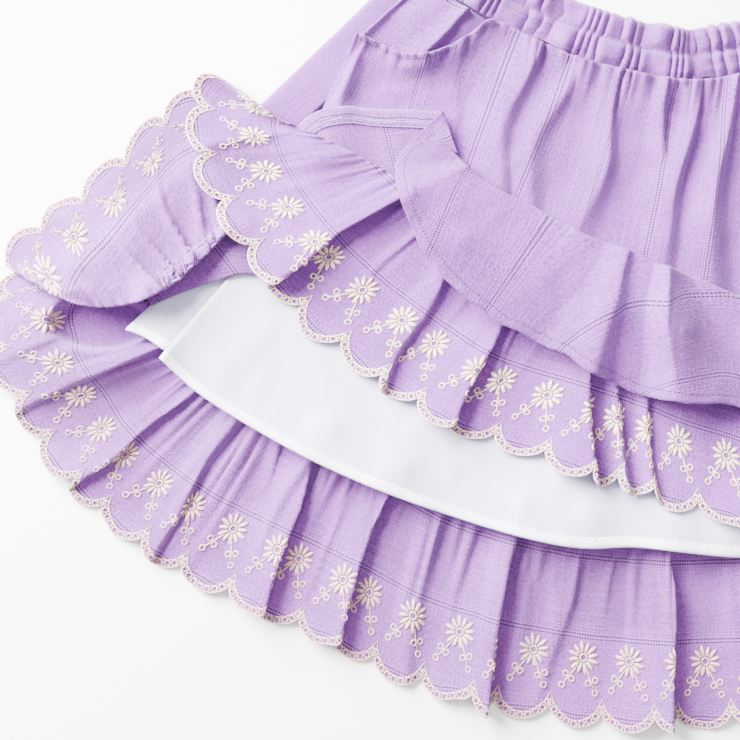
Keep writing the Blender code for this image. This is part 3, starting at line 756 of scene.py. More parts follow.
white_lawn = plain_cotton("white lining lawn", (0.56, 0.545, 0.73, 1.0), (0.47, 0.455, 0.63, 1.0))
hem_lawn = plain_cotton("doubled white lawn", (0.84, 0.83, 0.93, 1.0), (0.74, 0.73, 0.86, 1.0))
cream_thread = thread_finish("cream embroidery thread", (0.80, 0.60, 0.47, 1.0),
                             (0.34, 0.23, 0.20, 1.0))
cream_wrong = thread_finish("wrong side of the embroidery", (0.62, 0.40, 0.36, 1.0),
                            (0.34, 0.19, 0.21, 1.0))
# Near black, though the real thread is lilac: this colour paints the shade of the needle holes and
# stitch dimples over the thread itself.
lilac_thread_and_stitch_shade = thread_finish("lilac sewing thread painted near black as stitch shade", (0.035, 0.012, 0.055, 1.0),
                             (0.02, 0.007, 0.03, 1.0))
pale_thread = thread_finish("pale overlock thread", (0.36, 0.14, 0.52, 1.0),
                            (0.18, 0.055, 0.28, 1.0))
lilac_wrong_thread = thread_finish("overlock thread", (0.32, 0.105, 0.46, 1.0),
                                   (0.13, 0.04, 0.20, 1.0))
# Greyer than the white lawn it is sewn into, though the thread is white: the grey paints the shade
# along the stitch line over the thread.
white_thread_and_stitch_shade = thread_finish("white sewing thread painted grey as stitch shade", (0.40, 0.39, 0.50, 1.0),
                             (0.25, 0.24, 0.33, 1.0))
print("lining and threads made")

# %% [markdown]
# ## Threads, stitches and rings
#
# Embroidery stands proud of the cloth, so it is modelled and not painted. A thread is a grid
# rolled into a tube along a path. A ring is a small circle spun about an axis, and a petal is
# a flattened sphere, as a satin stitch is plump in the middle and narrow at its ends.

# %% A thread along a path
def rolled_thread(mesh, path, radius, sides=5):
    """Adds a closed round thread along a path of points to a bmesh, in millimetres."""
    path = np.array(path, float)
    run = np.gradient(path, axis=0)
    run = run / np.maximum(np.linalg.norm(run, axis=1, keepdims=True), 1e-9)
    side = np.cross(run, (0.0, 0.0, 1.0))
    side = side / np.maximum(np.linalg.norm(side, axis=1, keepdims=True), 1e-9)
    up = np.cross(side, run)
    grid = bmesh.ops.create_grid(mesh, x_segments=len(path) - 1, y_segments=sides, size=1.0)
    made = grid["verts"]
    for vertex in made:
        k = round((vertex.co.x + 1) / 2 * (len(path) - 1))
        turn = (vertex.co.y + 1) * np.pi
        vertex.co = path[k] + radius * (np.cos(turn) * side[k] + np.sin(turn) * up[k])
    bmesh.ops.remove_doubles(mesh, verts=made, dist=1e-3)
    ends = [edge for edge in mesh.edges if edge.is_boundary]
    bmesh.ops.holes_fill(mesh, edges=ends, sides=0)


def spun_ring(mesh, centre, radius, thick, steps=10, sides=4):
    """Adds a small ring of thread, by spinning a circle round its centre."""
    place = Vector((centre[0] + radius, centre[1], centre[2]))
    circle = bmesh.ops.create_circle(mesh, segments=sides, radius=thick)["verts"]
    for vertex in circle:
        vertex.co = place + Vector((vertex.co.x, 0.0, vertex.co.y))
    edges = list({edge for vertex in circle for edge in vertex.link_edges})
    bmesh.ops.spin(mesh, geom=circle + edges, cent=centre, axis=(0, 0, 1), angle=2 * np.pi,
                   steps=steps, use_merge=True)


def plump_stitch(mesh, start, end, width, height, segments=6, rings=4):
    """Adds one satin stitch: a sphere drawn out between two points."""
    start, end = Vector(start), Vector(end)
    middle, half = (start + end) / 2, (end - start) / 2
    angle = np.arctan2(half.y, half.x)
    ball = bmesh.ops.create_uvsphere(mesh, u_segments=segments, v_segments=rings, radius=1.0)
    for vertex in ball["verts"]:
        long, wide = vertex.co.z * half.length, vertex.co.x * width / 2
        vertex.co = (middle.x + long * np.cos(angle) - wide * np.sin(angle),
                     middle.y + long * np.sin(angle) + wide * np.cos(angle),
                     middle.z + vertex.co.y * height)


def carried(name, flat, sheet, material, from_top=False):
    """Carries a flat bmesh onto a laid sheet, measured up from its hem or down from its top."""
    bmesh.ops.recalc_face_normals(flat, faces=flat.faces)
    data = finished(name, flat)
    cloth, up, off = places_of(data).T
    if from_top:
        up = np.interp(cloth, sheet.cloth, sheet.reach) - up
    placed = sheet.on_cloth(cloth, up, off + sheet.thickness / 2)
    data.vertices.foreach_set("co", to_frame(placed).ravel())
    data.update()
    piece = show(name, data, material)
    print(name, len(data.polygons), "faces")
    return piece


# %% [markdown]
# ## The embroidered scallop
#
# Each repeat of the border is one scallop: a flower over it, two stems with small rings that
# lean to the notches, and a chain of rings between two lines of stitching along the edge. It
# is an ordinary floral border of the kind sold by the metre, drawn here from circles.

# %% One repeat, drawn flat
class Scallop:
    """The border's repeat, and how far its edge stands back from the tips."""

    pitch = 27.5
    depth = 7.8
    columns = 16
    roundness = 0.94

    @classmethod
    def edge(cls, repeats):
        across = 2.0 * (np.asarray(repeats) % 1.0) - 1.0
        full = 1.0 - np.sqrt(1.0 - cls.roundness**2)
        return cls.depth * (1.0 - np.sqrt(1.0 - (cls.roundness * across) ** 2)) / full


BORDER_WIDTH = 3.6
BORDER_PEAK = 0.5
CHAIN_RINGS = 9
RING_RADIUS = 1.5
THREAD = 0.44
FLOWER_AT = (1.2, 35.0)
FLOWER_EYE = 1.85
PETALS = 12
PETAL_FROM = 2.3
PETAL_ENDS = (8.1, 8.8)
PETAL_SIZE = (2.3, 0.6)
STEM_RING = 1.45
PAIR_APART = 1.95
OUTER_LINE = 0.42
INNER_LINE = 0.32
LINE_STEPS = 22
# A stem starts beside the flower's middle, carries a pair of rings and ends in one.
Stem = namedtuple("Stem", "from_x from_y pair_x pair_y end_x end_y")
STEMS = [
    Stem(-2.6, -4.0, -5.6, 24.6, -8.6, 19.6),
    Stem(1.8, -4.6, 7.0, 23.4, 9.2, 18.0),
]


def border_line(height, extra, share):
    """A line of the border at a share of the pitch: higher lines have sharper peaks."""
    x = (share - 0.5) * Scallop.pitch
    return x, height + Scallop.edge(share) * (1.0 + extra)


def chain_places():
    """Centres of the chain's rings, evenly spaced by length along the border's middle."""
    share = np.linspace(0.0, 1.0, 200)
    x, y = border_line(BORDER_WIDTH / 2 + 0.1, BORDER_PEAK / 2, share)
    length = np.concatenate([[0.0], np.cumsum(np.hypot(np.diff(x), np.diff(y)))])
    wanted = (np.arange(CHAIN_RINGS) + 0.5) / CHAIN_RINGS * length[-1]
    return np.stack([np.interp(wanted, length, x), np.interp(wanted, length, y)], axis=1)


def one_repeat():
    """One scallop's embroidery as a flat mesh, in millimetres from its middle and its tip."""
    mesh = bmesh.new()
    for x, y in chain_places():
        spun_ring(mesh, (x, y, 0.15), RING_RADIUS, THREAD)
    flower = np.array(FLOWER_AT)
    for k in range(PETALS):
        turn = 2 * np.pi * (k + 0.5) / PETALS
        toward = np.array([np.cos(turn), np.sin(turn)])
        near, far = flower + PETAL_FROM * toward, flower + PETAL_ENDS[k % 2] * toward
        plump_stitch(mesh, (*near, 0.2), (*far, 0.2), *PETAL_SIZE)
    spun_ring(mesh, (*flower, 0.25), FLOWER_EYE, 0.5, steps=12)
    for stem in STEMS:
        start = flower + (stem.from_x, stem.from_y)
        pair, end = np.array([stem.pair_x, stem.pair_y]), np.array([stem.end_x, stem.end_y])
        run = (end - start) / np.hypot(*(end - start))
        off = np.array([-run[1], run[0]]) * PAIR_APART
        for centre in (pair + off, pair - off, end):
            spun_ring(mesh, (*centre, 0.15), STEM_RING, THREAD)
        share = np.linspace(0.0, 1.0, 5)[:, None]
        line = start * (1 - share) + (end - run * 1.5) * share
        rolled_thread(mesh, np.column_stack([line, np.full(5, 0.15)]), THREAD * 0.95, sides=4)
    return finished("one repeat", mesh)


repeat_mesh = one_repeat()
print("one repeat has", len(repeat_mesh.polygons), "faces")


# %% Repeats side by side along a tier
def embroidery(name, sheet, material):
    """The repeats along a tier, between an outer and an inner line of stitching."""
    flat = bmesh.new()
    for k in range(sheet.count):
        first = len(flat.verts)
        flat.from_mesh(repeat_mesh)
        flat.verts.ensure_lookup_table()
        bmesh.ops.translate(flat, verts=flat.verts[first:], vec=((k + 0.5) * Scallop.pitch, 0, 0))
    share = np.linspace(0.0, sheet.count, sheet.count * LINE_STEPS + 1)
    x = share * Scallop.pitch
    outer = np.column_stack([x, 0.4 + Scallop.edge(share), np.full(len(x), 0.1)])
    _, line = border_line(BORDER_WIDTH, BORDER_PEAK, share)
    inner = np.column_stack([x, line, np.full(len(x), 0.15)])
    rolled_thread(flat, outer, OUTER_LINE)
    rolled_thread(flat, inner, INNER_LINE)
    return carried(name, flat, sheet, material)


# %% Stitches, bands and overlocked edges
Stitch = namedtuple("Stitch", "length width height")
LONG_STITCH = Stitch(1.9, 0.42, 0.22)
# Drawn wider than the thread, so that in the near-black lilac thread each stitch also paints the
# shade of its needle holes.
STITCH_AND_HOLE_SHADE = Stitch(1.1, 0.75, 0.24)
SEWN_FROM = 1.5
BAND_WALL = 0.3
BAND_ROWS = 6
BAND_SEED = 61
LOOP_STITCH = (0.6, 0.35)
CHAIN_THREAD = 0.35
EDGE_THREAD = 0.38


def sewn_row(name, sheet, up, material, step, start=SEWN_FROM, end=None,
             from_top=False, size=STITCH_AND_HOLE_SHADE, raised=0.0):
    """A row of short stitches along the hem, at a height over it or under the upper seam."""
    flat = bmesh.new()
    for place in np.arange(start, sheet.length - SEWN_FROM if end is None else end, step):
        plump_stitch(flat, (place, up, 0.05), (place + size.length, up, 0.05), size.width,
                     size.height, segments=5, rings=3)
    bmesh.ops.translate(flat, verts=flat.verts[:], vec=(0, 0, raised))
    return carried(name, flat, sheet, material, from_top)


def folded_band(name, sheet, low, high, material, raised, bulge, crinkle=0.0,
                from_top=False, start=0.0):
    """The turned-up part of a hem: a second layer with a soft edge, on the cloth."""
    columns = max(8, round((sheet.length - start) / (0.9 if crinkle else 2.5)))
    data = grid_mesh(name, columns, BAND_ROWS)
    column, row = grid_indices(data, columns, BAND_ROWS)
    share = row / BAND_ROWS
    cloth = start + column / columns * (sheet.length - start)
    lift = raised + bulge * np.sin(np.pi * share) - 0.3 * (share * 2 - 1) ** 6
    lift = lift + crinkle * np.abs(value_noise(cloth / 2.2, share * 1.5, BAND_SEED))
    up = low + (high - low) * share + crinkle * value_noise(cloth / 3.1, share, BAND_SEED + 1)
    if from_top:
        up = np.interp(cloth, sheet.cloth, sheet.reach) - up
    placed = sheet.on_cloth(cloth, up, lift)
    data.vertices.foreach_set("co", to_frame(placed).ravel())
    write_uv(data, low + (high - low) * share, cloth)
    data.update()
    face_up(data)
    return show(name, data, material, BAND_WALL)


def overlocked(name, sheet, up, width, material, pitch, raised, start=0.0,
               from_top=False):
    """Slanting loops over a raw edge, with a chain of thread along their inner side."""
    flat = bmesh.new()
    for place in np.arange(start, sheet.length, pitch):
        far = (place + pitch * 0.9, up + width, raised)
        plump_stitch(flat, (place, up, raised), far, *LOOP_STITCH, segments=5, rings=3)
    path = np.arange(start, sheet.length, 1.0)
    level = np.full(len(path), raised)
    wave = up + width + 0.2 * np.sin(path * 4.0)
    rolled_thread(flat, np.column_stack([path, wave, level]), CHAIN_THREAD, sides=4)
    edge = np.full(len(path), up)
    rolled_thread(flat, np.column_stack([path, edge, level]), EDGE_THREAD, sides=4)
    return carried(name, flat, sheet, material, from_top)


# %% [markdown]
# ## The back of the skirt
#
# The back lies on the table: the flounce's back, the body's back with both sides rolled up to
# the side seams, and the scalloped tier's back, whose wrong side shows below the lifted front.
# Its folds were gathers at the top seam, so each one is narrow there and opens toward the hem.

# %% The body's back and its flounce
FLOUNCE_BACK = [
    Row(-268, 42, -288, 2),
    Row(-252, 24, -276, -16),
    Row(-232, 4, -262, -42, 0.0, 0.3, 0.3),
    Row(-206, -16, -238, -68, 0.0, 0.3, 0.3),
    Row(-174, -34, -202, -92, 0.0, 0.3, 0.3),
    Row(-132, -54, -154, -113, 0.0, 0.3, 0.3),
    Row(-92, -67, -104, -131, 0.0, 0.3, 0.3),
    Row(-46, -76, -53, -141, 0.0, 0.3, 0.3),
    Row(0, -79, 0, -144, 0.0, 0.3, 0.3),
    Row(46, -77, 53, -141, 0.0, 0.3, 0.3),
    Row(92, -68, 106, -130, 0.0, 0.3, 0.3),
    Row(134, -52, 158, -110, 0.0, 0.3, 0.3),
    Row(174, -32, 206, -86, 0.0, 0.3, 0.3),
    Row(206, -12, 242, -60, 0.0, 0.3, 0.3),
    Row(234, 9, 270, -32, 0.0, 0.3, 0.3),
    Row(256, 29, 292, -5),
    Row(268, 41, 306, 11),
]
BODY_BACK = [
    Row(-120, 168, -262, 38, 4.6, 0.0, 3.0),
    Row(-131, 173, -276, 35, 4.6, 0.0, 3.0),
    Row(-142, 177, -294, 31.5, 3.9, 0.0, 3.4),
    Row(-145.5, 178, -298.5, 30, 1.8, 0.0, 1.8),
    Row(-142, 176.5, -294, 27),
    Row(-131, 170, -284, 20),
    Row(-111, 158, -258, 2),
    Row(-94, 151, -232, -27),
    Row(-65, 137, -184, -55.5),
    Row(-35, 128, -118, -82.5),
    Row(0, 122, 0, -102),
    Row(35, 128, 75, -96),
    Row(65, 137, 150, -71.5),
    Row(94, 151, 219, -35),
    Row(111, 158, 250, -11),
    Row(131, 170, 282, 18),
    Row(142, 176.5, 291, 27),
    Row(145.5, 178, 294.5, 30, 1.8, 0.0, 1.8),
    Row(142, 177, 290, 32, 3.9, 0.0, 3.4),
    Row(131, 173, 274, 36, 4.6, 0.0, 3.6),
    Row(120, 168, 262, 40, 4.6, 0.0, 3.6),
]
flounce_back = Sheet(FLOUNCE_BACK, 55.0, pitch=6.0, steps=8, seed=11)
flounce_back_piece = cloth_piece("flounce_back", flounce_back, lilac,
                                 stripes_along_hem)
body_back = Sheet(BODY_BACK, 216.0, pitch=3.0, steps=40, wrinkle=0.1, seed=12)
body_back_piece = cloth_piece("body_back", body_back, lilac, stripes_down_cloth)

# %% The tier's back, with its wrong side up
TIER_BACK = [
    Row(-305, 26, -332, 31, 0.0, 0.0, 0.5),
    Row(-286, 17, -349, 19, 0.0, 6.0, 1.0),
    Row(-264, 9, -356, 3, 0.0, 13.0, 2.0),
    Row(-254, 1, -353, -14, 0.0, 14.0, 2.0),
    Row(-250, -7.5, -346, -34, 0.0, 12.0, 1.5),
    Row(-245.5, -12.5, -334, -54, 0.0, 5.0, 1.0),
    Row(-240, -17.5, -321, -76, 0.0, 2.0, 0.5),
    Row(-229.5, -27, -302, -96, 0.0, 1.0, 0.0),
    Row(-216.5, -34.5, -279, -114, 0.0, 1.0, 0.0),
    Row(-203, -41, -254, -129, 0.0, 1.0, 0.0),
    Row(-183.5, -51.5, -229, -141, 0.0, 1.0, 0.0),
    Row(-147, -68.5, -184, -162, 0.0, 1.0, 0.0),
    Row(-118.5, -78, -145, -181, 0.0, 1.0, 0.0),
    Row(-86.5, -87, -110, -192, 0.0, 1.0, 0.0),
    Row(-51, -94, -65, -201, 0.0, 1.0, 0.0),
    Row(-15, -97, -17, -205, 0.0, 1.0, 0.0),
    Row(21.5, -97.5, 27, -204, 0.0, 1.0, 0.0),
    Row(74.5, -92, 85, -198, 0.0, 1.0, 0.0),
    Row(118.5, -80, 145, -183, 0.0, 1.0, 0.0),
    Row(183.5, -52.5, 229, -148, 0.0, 1.0, 0.0),
    Row(216.5, -32, 279, -123, 0.0, 1.0, 0.0),
    Row(247.5, -8.5, 318, -98, 0.0, 1.0, 0.0),
    Row(271, 10.5, 346, -71, 0.0, 1.0, 0.0),
    Row(295, 26, 366, -44),
]
TIER_BACK_FOLDS = [
    Fold(-266, 8, -345, -20, 12, 5, 2.0, 1.0, 0, 0.3),
    Fold(-256, -8, -337, -42, 14, 6, 3.0, 3.0, 1, 0.4),
    Fold(-247, -36, -312, -77, 26, 6, 3.0, 5.5, 2, 0.7),
    Fold(-225, -50, -266, -108.5, 22, 6, 3.0, 4.5, 0, 0.5),
    Fold(-208.5, -59.5, -234.5, -136.5, 10, 4, 3.5, -3.0, 0, 0.4),
    Fold(-193.5, -68.5, -221, -144.5, 30, 7, 4.0, 10.0, 3, 0.8),
    Fold(-183, -70, -201, -146, 6, 3, 2.5, -3.0, 0, 0.2),
    Fold(-153, -83.5, -183, -163, 28, 7, 3.5, 9.5, 0, 0.8),
    Fold(-136, -90, -150, -176, 8, 4, 2.5, -4.0, 0, 0.2),
    Fold(-126, -93.5, -142, -182, 14, 8, 2.5, 2.0, 0, 0.2),
    Fold(-109.5, -99.5, -122, -189, 10, 5, 3.0, -2.0, 0, 0.3),
    Fold(-90, -105, -109, -192, 28, 7, 4.5, 10.5, 1, 0.8),
    Fold(-80, -106.5, -90, -197, 7, 4, 3.0, -3.0, 0, 0.3),
    Fold(-53.5, -112, -80, -199, 18, 7, 4.0, 0.5, 0, 0.4),
    Fold(-37.5, -111.5, -48, -203, 9, 5, 3.0, -2.0, 1, 0.3),
    Fold(-14, -112.5, -16.5, -205, 32, 7, 3.5, 10.0, 2, 0.8),
    Fold(22, -117.5, 34, -204, 24, 8, 4.0, 8.0, 1, 0.6),
    Fold(60, -96, 70, -200, 24, 8, 3.0, 4.5, 1, 0.5),
    Fold(96, -88, 110, -192, 24, 8, 3.0, 4.5, 1, 0.5),
    Fold(130, -76, 150, -181, 24, 8, 3.0, 4.0, 1, 0.5),
    Fold(183.5, -52.5, 229, -148, 28, 10, 2.0, 3.0, 1, 0.4),
    Fold(247.5, -8.5, 318, -98, 24, 10, 2.0, 2.5, 1, 0.3),
]
tier_back = Sheet(TIER_BACK, 97.0, TIER_BACK_FOLDS, steps=48, gathers=(2.9, 32.0, 8.0),
                  wrinkle=0.35, scallop=Scallop, seed=13, uneven=1.7, hollows=((-295, 1, 27, 15),))
tier_back_piece = cloth_piece("tier_back", tier_back, lilac_wrong,
                              stripes_along_hem)
tier_back_thread = embroidery("tier_back_embroidery", tier_back, cream_wrong)

# %% [markdown]
# ## The white lining
#
# The lining is a plain tube of fine white lawn inside the skirt, cut like a petticoat without
# gathers at its hem. Its front hangs in a few wide soft swells with small wrinkles, and its
# back shows at one corner only. The narrow hem is turned up twice and stitched.

# %% Both panels of the lining
LINING_BACK = [
    Row(-128, 150, -282, -3),
    Row(-118, 148, -270, -8),
    Row(-100, 142, -244, -26),
    Row(-70, 130, -190, -60),
    Row(-30, 118, -90, -97),
    Row(15, 116, 20, -108),
    Row(60, 127, 100, -101),
    Row(100, 142, 190, -68),
    Row(122, 150, 252, -20),
]
LINING_FRONT = [
    Row(-126, 149, -264.5, -17, 0.0, 0.0, 2.5),
    Row(-118, 148, -256, -25.5, 0.0, 0.0, 1.5),
    Row(-110, 146, -245, -35, 0.0, 0.5, 1.5),
    Row(-98, 141, -226, -47.5, 0.0, 0.5, 1.5),
    Row(-82, 134, -193, -66, 0.0, 0.5, 1.5),
    Row(-66, 129, -160, -81, 0.0, 0.5, 1.5),
    Row(-52, 123, -125, -94, 0.0, 0.5, 1.5),
    Row(-38, 119, -89, -105, 0.0, 0.5, 1.5),
    Row(-22, 116, -56, -111.5, 0.0, 0.5, 1.5),
    Row(-5, 115, -25, -111.5, 0.0, 0.5, 1.5),
    Row(14, 116, 25, -116.5, 0.0, 0.5, 1.5),
    Row(38, 119, 75, -115, 0.0, 0.5, 1.5),
    Row(66, 129, 130, -101, 0.0, 0.5, 1.5),
    Row(98, 141, 195, -73, 0.0, 0.5, 1.5),
    Row(120, 149, 254, -27, 0.0, 0.5, 1.5),
]
LINING_BACK_FOLDS = [Fold(-128, 150, -262, -12, 8, 5, 0.5, 1.5, 0, 0.1)]
lining_back = Sheet(LINING_BACK, 225.0, LINING_BACK_FOLDS, pitch=4.0, steps=50,
                    thickness=LINING, wrinkle=0.3, seed=21)
lining_back_piece = cloth_piece("lining_back", lining_back, white_lawn,
                                stripes_down_cloth)
LINING_FRONT_FOLDS = [
    Fold(-66, 129, -160, -81, 40, 50, 0.0, 2.0, 0, 0.0),
    Fold(-40, 119, -70, -109, 30, 45, 0.0, 3.0, 0, 0.0),
    Fold(-5, 115, -2, -113, 34, 40, 0.0, 2.5, 0, 0.0),
    Fold(60, 127, 90, -112, 40, 50, 0.0, 2.5, 0, 0.0),
]
lining_front = Sheet(LINING_FRONT, 226.0, LINING_FRONT_FOLDS, pitch=3.0, steps=80,
                     thickness=LINING, wrinkle=0.8, seed=22, softness=(1.0, 1.0))
lining_front_piece = cloth_piece("lining_front", lining_front, white_lawn,
                                 stripes_down_cloth)
HEM_FROM = 0.2
HEM_TO = 5.4
HEM_STITCH = 4.9
folded_band("lining_front_hem", lining_front, HEM_FROM, HEM_TO, hem_lawn, 0.6,
            0.35)
sewn_row("lining_front_stitches", lining_front, HEM_STITCH, white_thread_and_stitch_shade, 3.0,
         size=LONG_STITCH, raised=0.75)
folded_band("lining_back_hem", lining_back, HEM_FROM, HEM_TO, hem_lawn, 0.5,
            0.25)

# %% [markdown]
# ## The lifted front
#
# The left front is folded back, so its wrong side shows: a strip of the body, the turned
# corner of the tier and the turned end of the flounce. The rest of the front lies right side
# up. Each of these is a piece of its own, because each is cut and sewn on by itself.

# %% The turned strip of the body and the pocket's facing
BODY_TURNED = [
    Row(-271, 13, -269, 9, 1.5, 0.0, 1.5),
    Row(-260, 21, -254, 15.5, 2.0, 0.0, 1.0),
    Row(-247, 34, -237, 21.5, 2.0, 1.0, 0.5),
    Row(-235, 46, -220, 25, 1.0, 1.0, 0.5),
    Row(-220, 58, -200, 19.5, 0.0, 0.5, 0.0),
    Row(-200, 66, -180, 17),
    Row(-175, 63, -160, 17),
]
POCKET_FACING = [
    Row(-139, 167, -163.5, 145, 1.5, 1.0, 0.5),
    Row(-126, 166, -152, 135, 2.5, 3.0, 0.5),
    Row(-112, 158.5, -141, 130, 2.5, 3.0, 0.5),
    Row(-106, 155, -125, 131, 1.5, 2.0, 0.5),
    Row(-100, 152, -107, 141, 1.5, 0.5, 0.5),
]
POCKET_FACING_FOLDS = [
    Fold(-138, 167, -163, 145, 2, 5, 4.0, 3.0, 0, 0.0),
    Fold(-111, 159, -139, 131, 14, 5, 3.5, 4.0, 0, 0.3),
]
body_turned = Sheet(BODY_TURNED, 30.0, pitch=2.0, steps=16, wrinkle=0.3, seed=31)
body_turned_piece = cloth_piece("body_turned", body_turned, lilac_wrong,
                                stripes_down_cloth)
pocket_facing = Sheet(POCKET_FACING, 32.0, POCKET_FACING_FOLDS, pitch=1.5, steps=20,
                      wrinkle=0.5, seed=32)
pocket_facing_piece = cloth_piece("pocket_facing", pocket_facing, lilac,
                                  stripes_along_hem)

# %% The body's front
BODY_FRONT = [
    Row(-166.5, 145, -195, 84, 0.5, 0.5, 0.0),
    Row(-152, 138.5, -172, 76, 1.0, 1.0, 0.0),
    Row(-140, 134, -152, 67, 1.2, 1.0, 0.0),
    Row(-125, 136.5, -137, 54, 1.0, 1.5, 0.0),
    Row(-110, 145, -125, 43, 1.5, 2.0, 0.0),
    Row(-100, 151.5, -117, 38, 2.5, 2.5, 0.0),
    Row(-87.5, 147.5, -109, 31, 3.0, 3.0, 0.0),
    Row(-75, 141, -101, 26, 3.0, 3.0, 0.0),
    Row(-55, 133, -87, 17, 3.0, 3.0, 0.0),
    Row(-35, 128, -65, 8, 3.0, 3.0, 0.0),
    Row(-17, 124, -42, 1, 3.0, 3.0, 0.0),
    Row(3, 122, -17, -4, 3.0, 3.0, 0.0),
    Row(25, 125, 15, -9, 3.0, 3.0, 0.0),
    Row(45, 130, 62, -24, 3.0, 3.0, 0.0),
    Row(65, 137, 105, -36, 3.0, 3.0, 0.0),
    Row(85, 146.5, 145, -42, 3.0, 3.0, 0.0),
    Row(102, 155, 180, -38, 3.0, 3.0, 0.0),
    Row(115, 161, 212, -22, 2.5, 2.5, 0.0),
    Row(126, 167, 240, 4, 1.5, 1.5, 0.0),
    Row(134, 170, 262, 24, 1.0, 1.0, 0.0),
]
BODY_FRONT_FOLDS = [
    Fold(-161.5, 143, -186, 80, 5, 12, 2.0, 2.0, 0, 0.3),
    Fold(-120, 150, -130, 48, 20, 8, 0.5, 1.0, 0, 0.1),
    Fold(-75.5, 141, -105, 29, 20, 8, 2.8, 0.8, 13, 0.4),
    Fold(-54.5, 133.5, -92, 20, 16, 8, 2.4, 0.8, 0, 0.4),
    Fold(-34.5, 128.5, -66, 9, 20, 8, 2.6, 0.8, 2, 0.4),
    Fold(-13, 122, -24, -2, 12, 6, 3.5, -2.5, 0, 0.4),
    Fold(4, 127, -24, 0, 22, 8, 3.0, 1.4, 6, 0.5),
    Fold(22, 126, 10, -8, 18, 10, 3.0, 2.5, 0, 0.3),
    Fold(38, 128, 45, -19, 18, 6, 4.0, 2.0, 3, 0.5),
    Fold(52, 132, 75, -28, 18, 6, 4.5, 2.5, 3, 0.5),
    Fold(68, 138, 110, -37, 20, 8, 4.0, 2.0, 3, 0.4),
    Fold(88, 148, 150, -42, 20, 8, 4.0, 2.0, 3, 0.4),
    Fold(106, 157, 190, -34, 20, 8, 3.5, 2.0, 3, 0.4),
    Fold(122, 165, 222, -12, 18, 8, 3.0, 1.5, 3, 0.3),
]
GRAIN_AT = 46.0
GRAIN_SLANT = 0.17
STRAIGHT_FROM = 90.0
STRAIGHT_OVER = 120.0


def slanting_stripes(cloth, up):
    """The grain of the body leans near the side seam and runs straight from the middle on."""
    slant = GRAIN_SLANT * (1.0 - smooth_step((cloth - STRAIGHT_FROM) / STRAIGHT_OVER))
    return cloth - GRAIN_AT - slant * up, up


body_front = Sheet(BODY_FRONT, 206.0, BODY_FRONT_FOLDS, pitch=1.7, steps=70,
                   gathers=(2.8, 16.0, 5.0), wrinkle=0.6, seed=33, spread=1.5,
                   softness=(0.0, 1.0), swell=1.3)
body_front_piece = cloth_piece("body_front", body_front, lilac, slanting_stripes)
sewn_row("pocket_stitches", body_front, 2.2, lilac_thread_and_stitch_shade, 2.0, 4.0, 92.0,
         from_top=True)

# %% The tier's turned corner and the flounce's turned end
TIER_TURNED = [
    Row(-328, 21, -347, 31),
    Row(-316, 14, -343, 40, 4.5, 2.5, 0.5),
    Row(-303, 9, -335, 49, 9.0, 5.0, 0.5),
    Row(-288, 8, -320, 61, 14.0, 7.0, 0.0),
    Row(-271, 11.5, -302, 74, 11.0, 7.0, 0.0),
    Row(-257, 19.5, -283, 92, 6.0, 6.0, 0.0),
    Row(-243.5, 32, -267, 109, 2.5, 4.0, 0.0),
    Row(-232.5, 43, -253, 117, 1.0, 2.0, 0.0),
    Row(-223, 50, -238, 116, 0.0, 0.5, 0.0),
]
TIER_TURNED_FOLDS = [
    Fold(-300, 9, -330, 53, 12, 6, 1.5, 0.5, 0, 0.3),
    Fold(-263, 16, -324, 58, 16, 6, 5.5, 2.5, 2, 0.4),
    Fold(-254, 22, -300, 76, 8, 4, 5.5, -4.0, 0, 0.3),
    Fold(-247, 28, -276, 99, 9, 4, 6.5, -2.5, 1, 0.3),
    Fold(-240, 35, -262, 112, 7, 4, 6.0, -4.0, 0, 0.3),
    Fold(-233, 42, -252, 117, 7, 4, 5.5, -4.0, 0, 0.3),
]
FLOUNCE_TURNED = [
    Row(-180, 79, -197, 98.5, 0.0, 0.5, 0.0),
    Row(-170, 74, -189, 105, 0.0, 0.8, 0.2),
    Row(-157, 66, -175, 108.5, 0.0, 1.0, 0.5),
    Row(-145, 59, -157.5, 107.5, 0.0, 1.0, 0.8),
    Row(-132, 59, -140, 107, 0.0, 1.0, 0.8),
    Row(-120, 66, -125, 106, 0.0, 0.5, 0.5),
]
CROWDED_HEM = ((0.0, 0.0), (0.13, 0.12), (0.5, 0.29), (0.62, 0.42), (1.0, 1.0))
tier_turned = Sheet(TIER_TURNED, 97.0, TIER_TURNED_FOLDS, steps=48, gathers=(2.6, 16.0, 4.5),
                    wrinkle=0.5, scallop=Scallop, seed=34, uneven=1.5, crowding=CROWDED_HEM)
tier_turned_piece = cloth_piece("tier_turned", tier_turned, lilac_wrong,
                                stripes_along_hem)
tier_turned_thread = embroidery("tier_turned_embroidery", tier_turned, cream_wrong)
SEAM_FROM = 76.0
folded_band("tier_turned_seam", tier_turned, 0.3, 5.4, lilac_wrong,
            1.0, 0.6, crinkle=1.7, from_top=True, start=SEAM_FROM)
overlocked("tier_turned_overlock", tier_turned, 0.5, 3.4, lilac_wrong_thread,
           pitch=0.9, raised=1.5, start=SEAM_FROM, from_top=True)
flounce_turned = Sheet(FLOUNCE_TURNED, 42.0, pitch=1.6, steps=24, wrinkle=0.4, seed=35)
flounce_turned_piece = cloth_piece("flounce_turned", flounce_turned, lilac_wrong,
                                   stripes_down_cloth)
folded_band("flounce_turned_hem", flounce_turned, 0.2, 8.0, lilac_wrong,
            0.6, 0.3, crinkle=0.5)
overlocked("flounce_turned_overlock", flounce_turned, 6.6, 2.4, pale_thread,
           pitch=1.0, raised=0.9)
sewn_row("flounce_turned_stitches", flounce_turned, 5.2, lilac_thread_and_stitch_shade, 2.0)

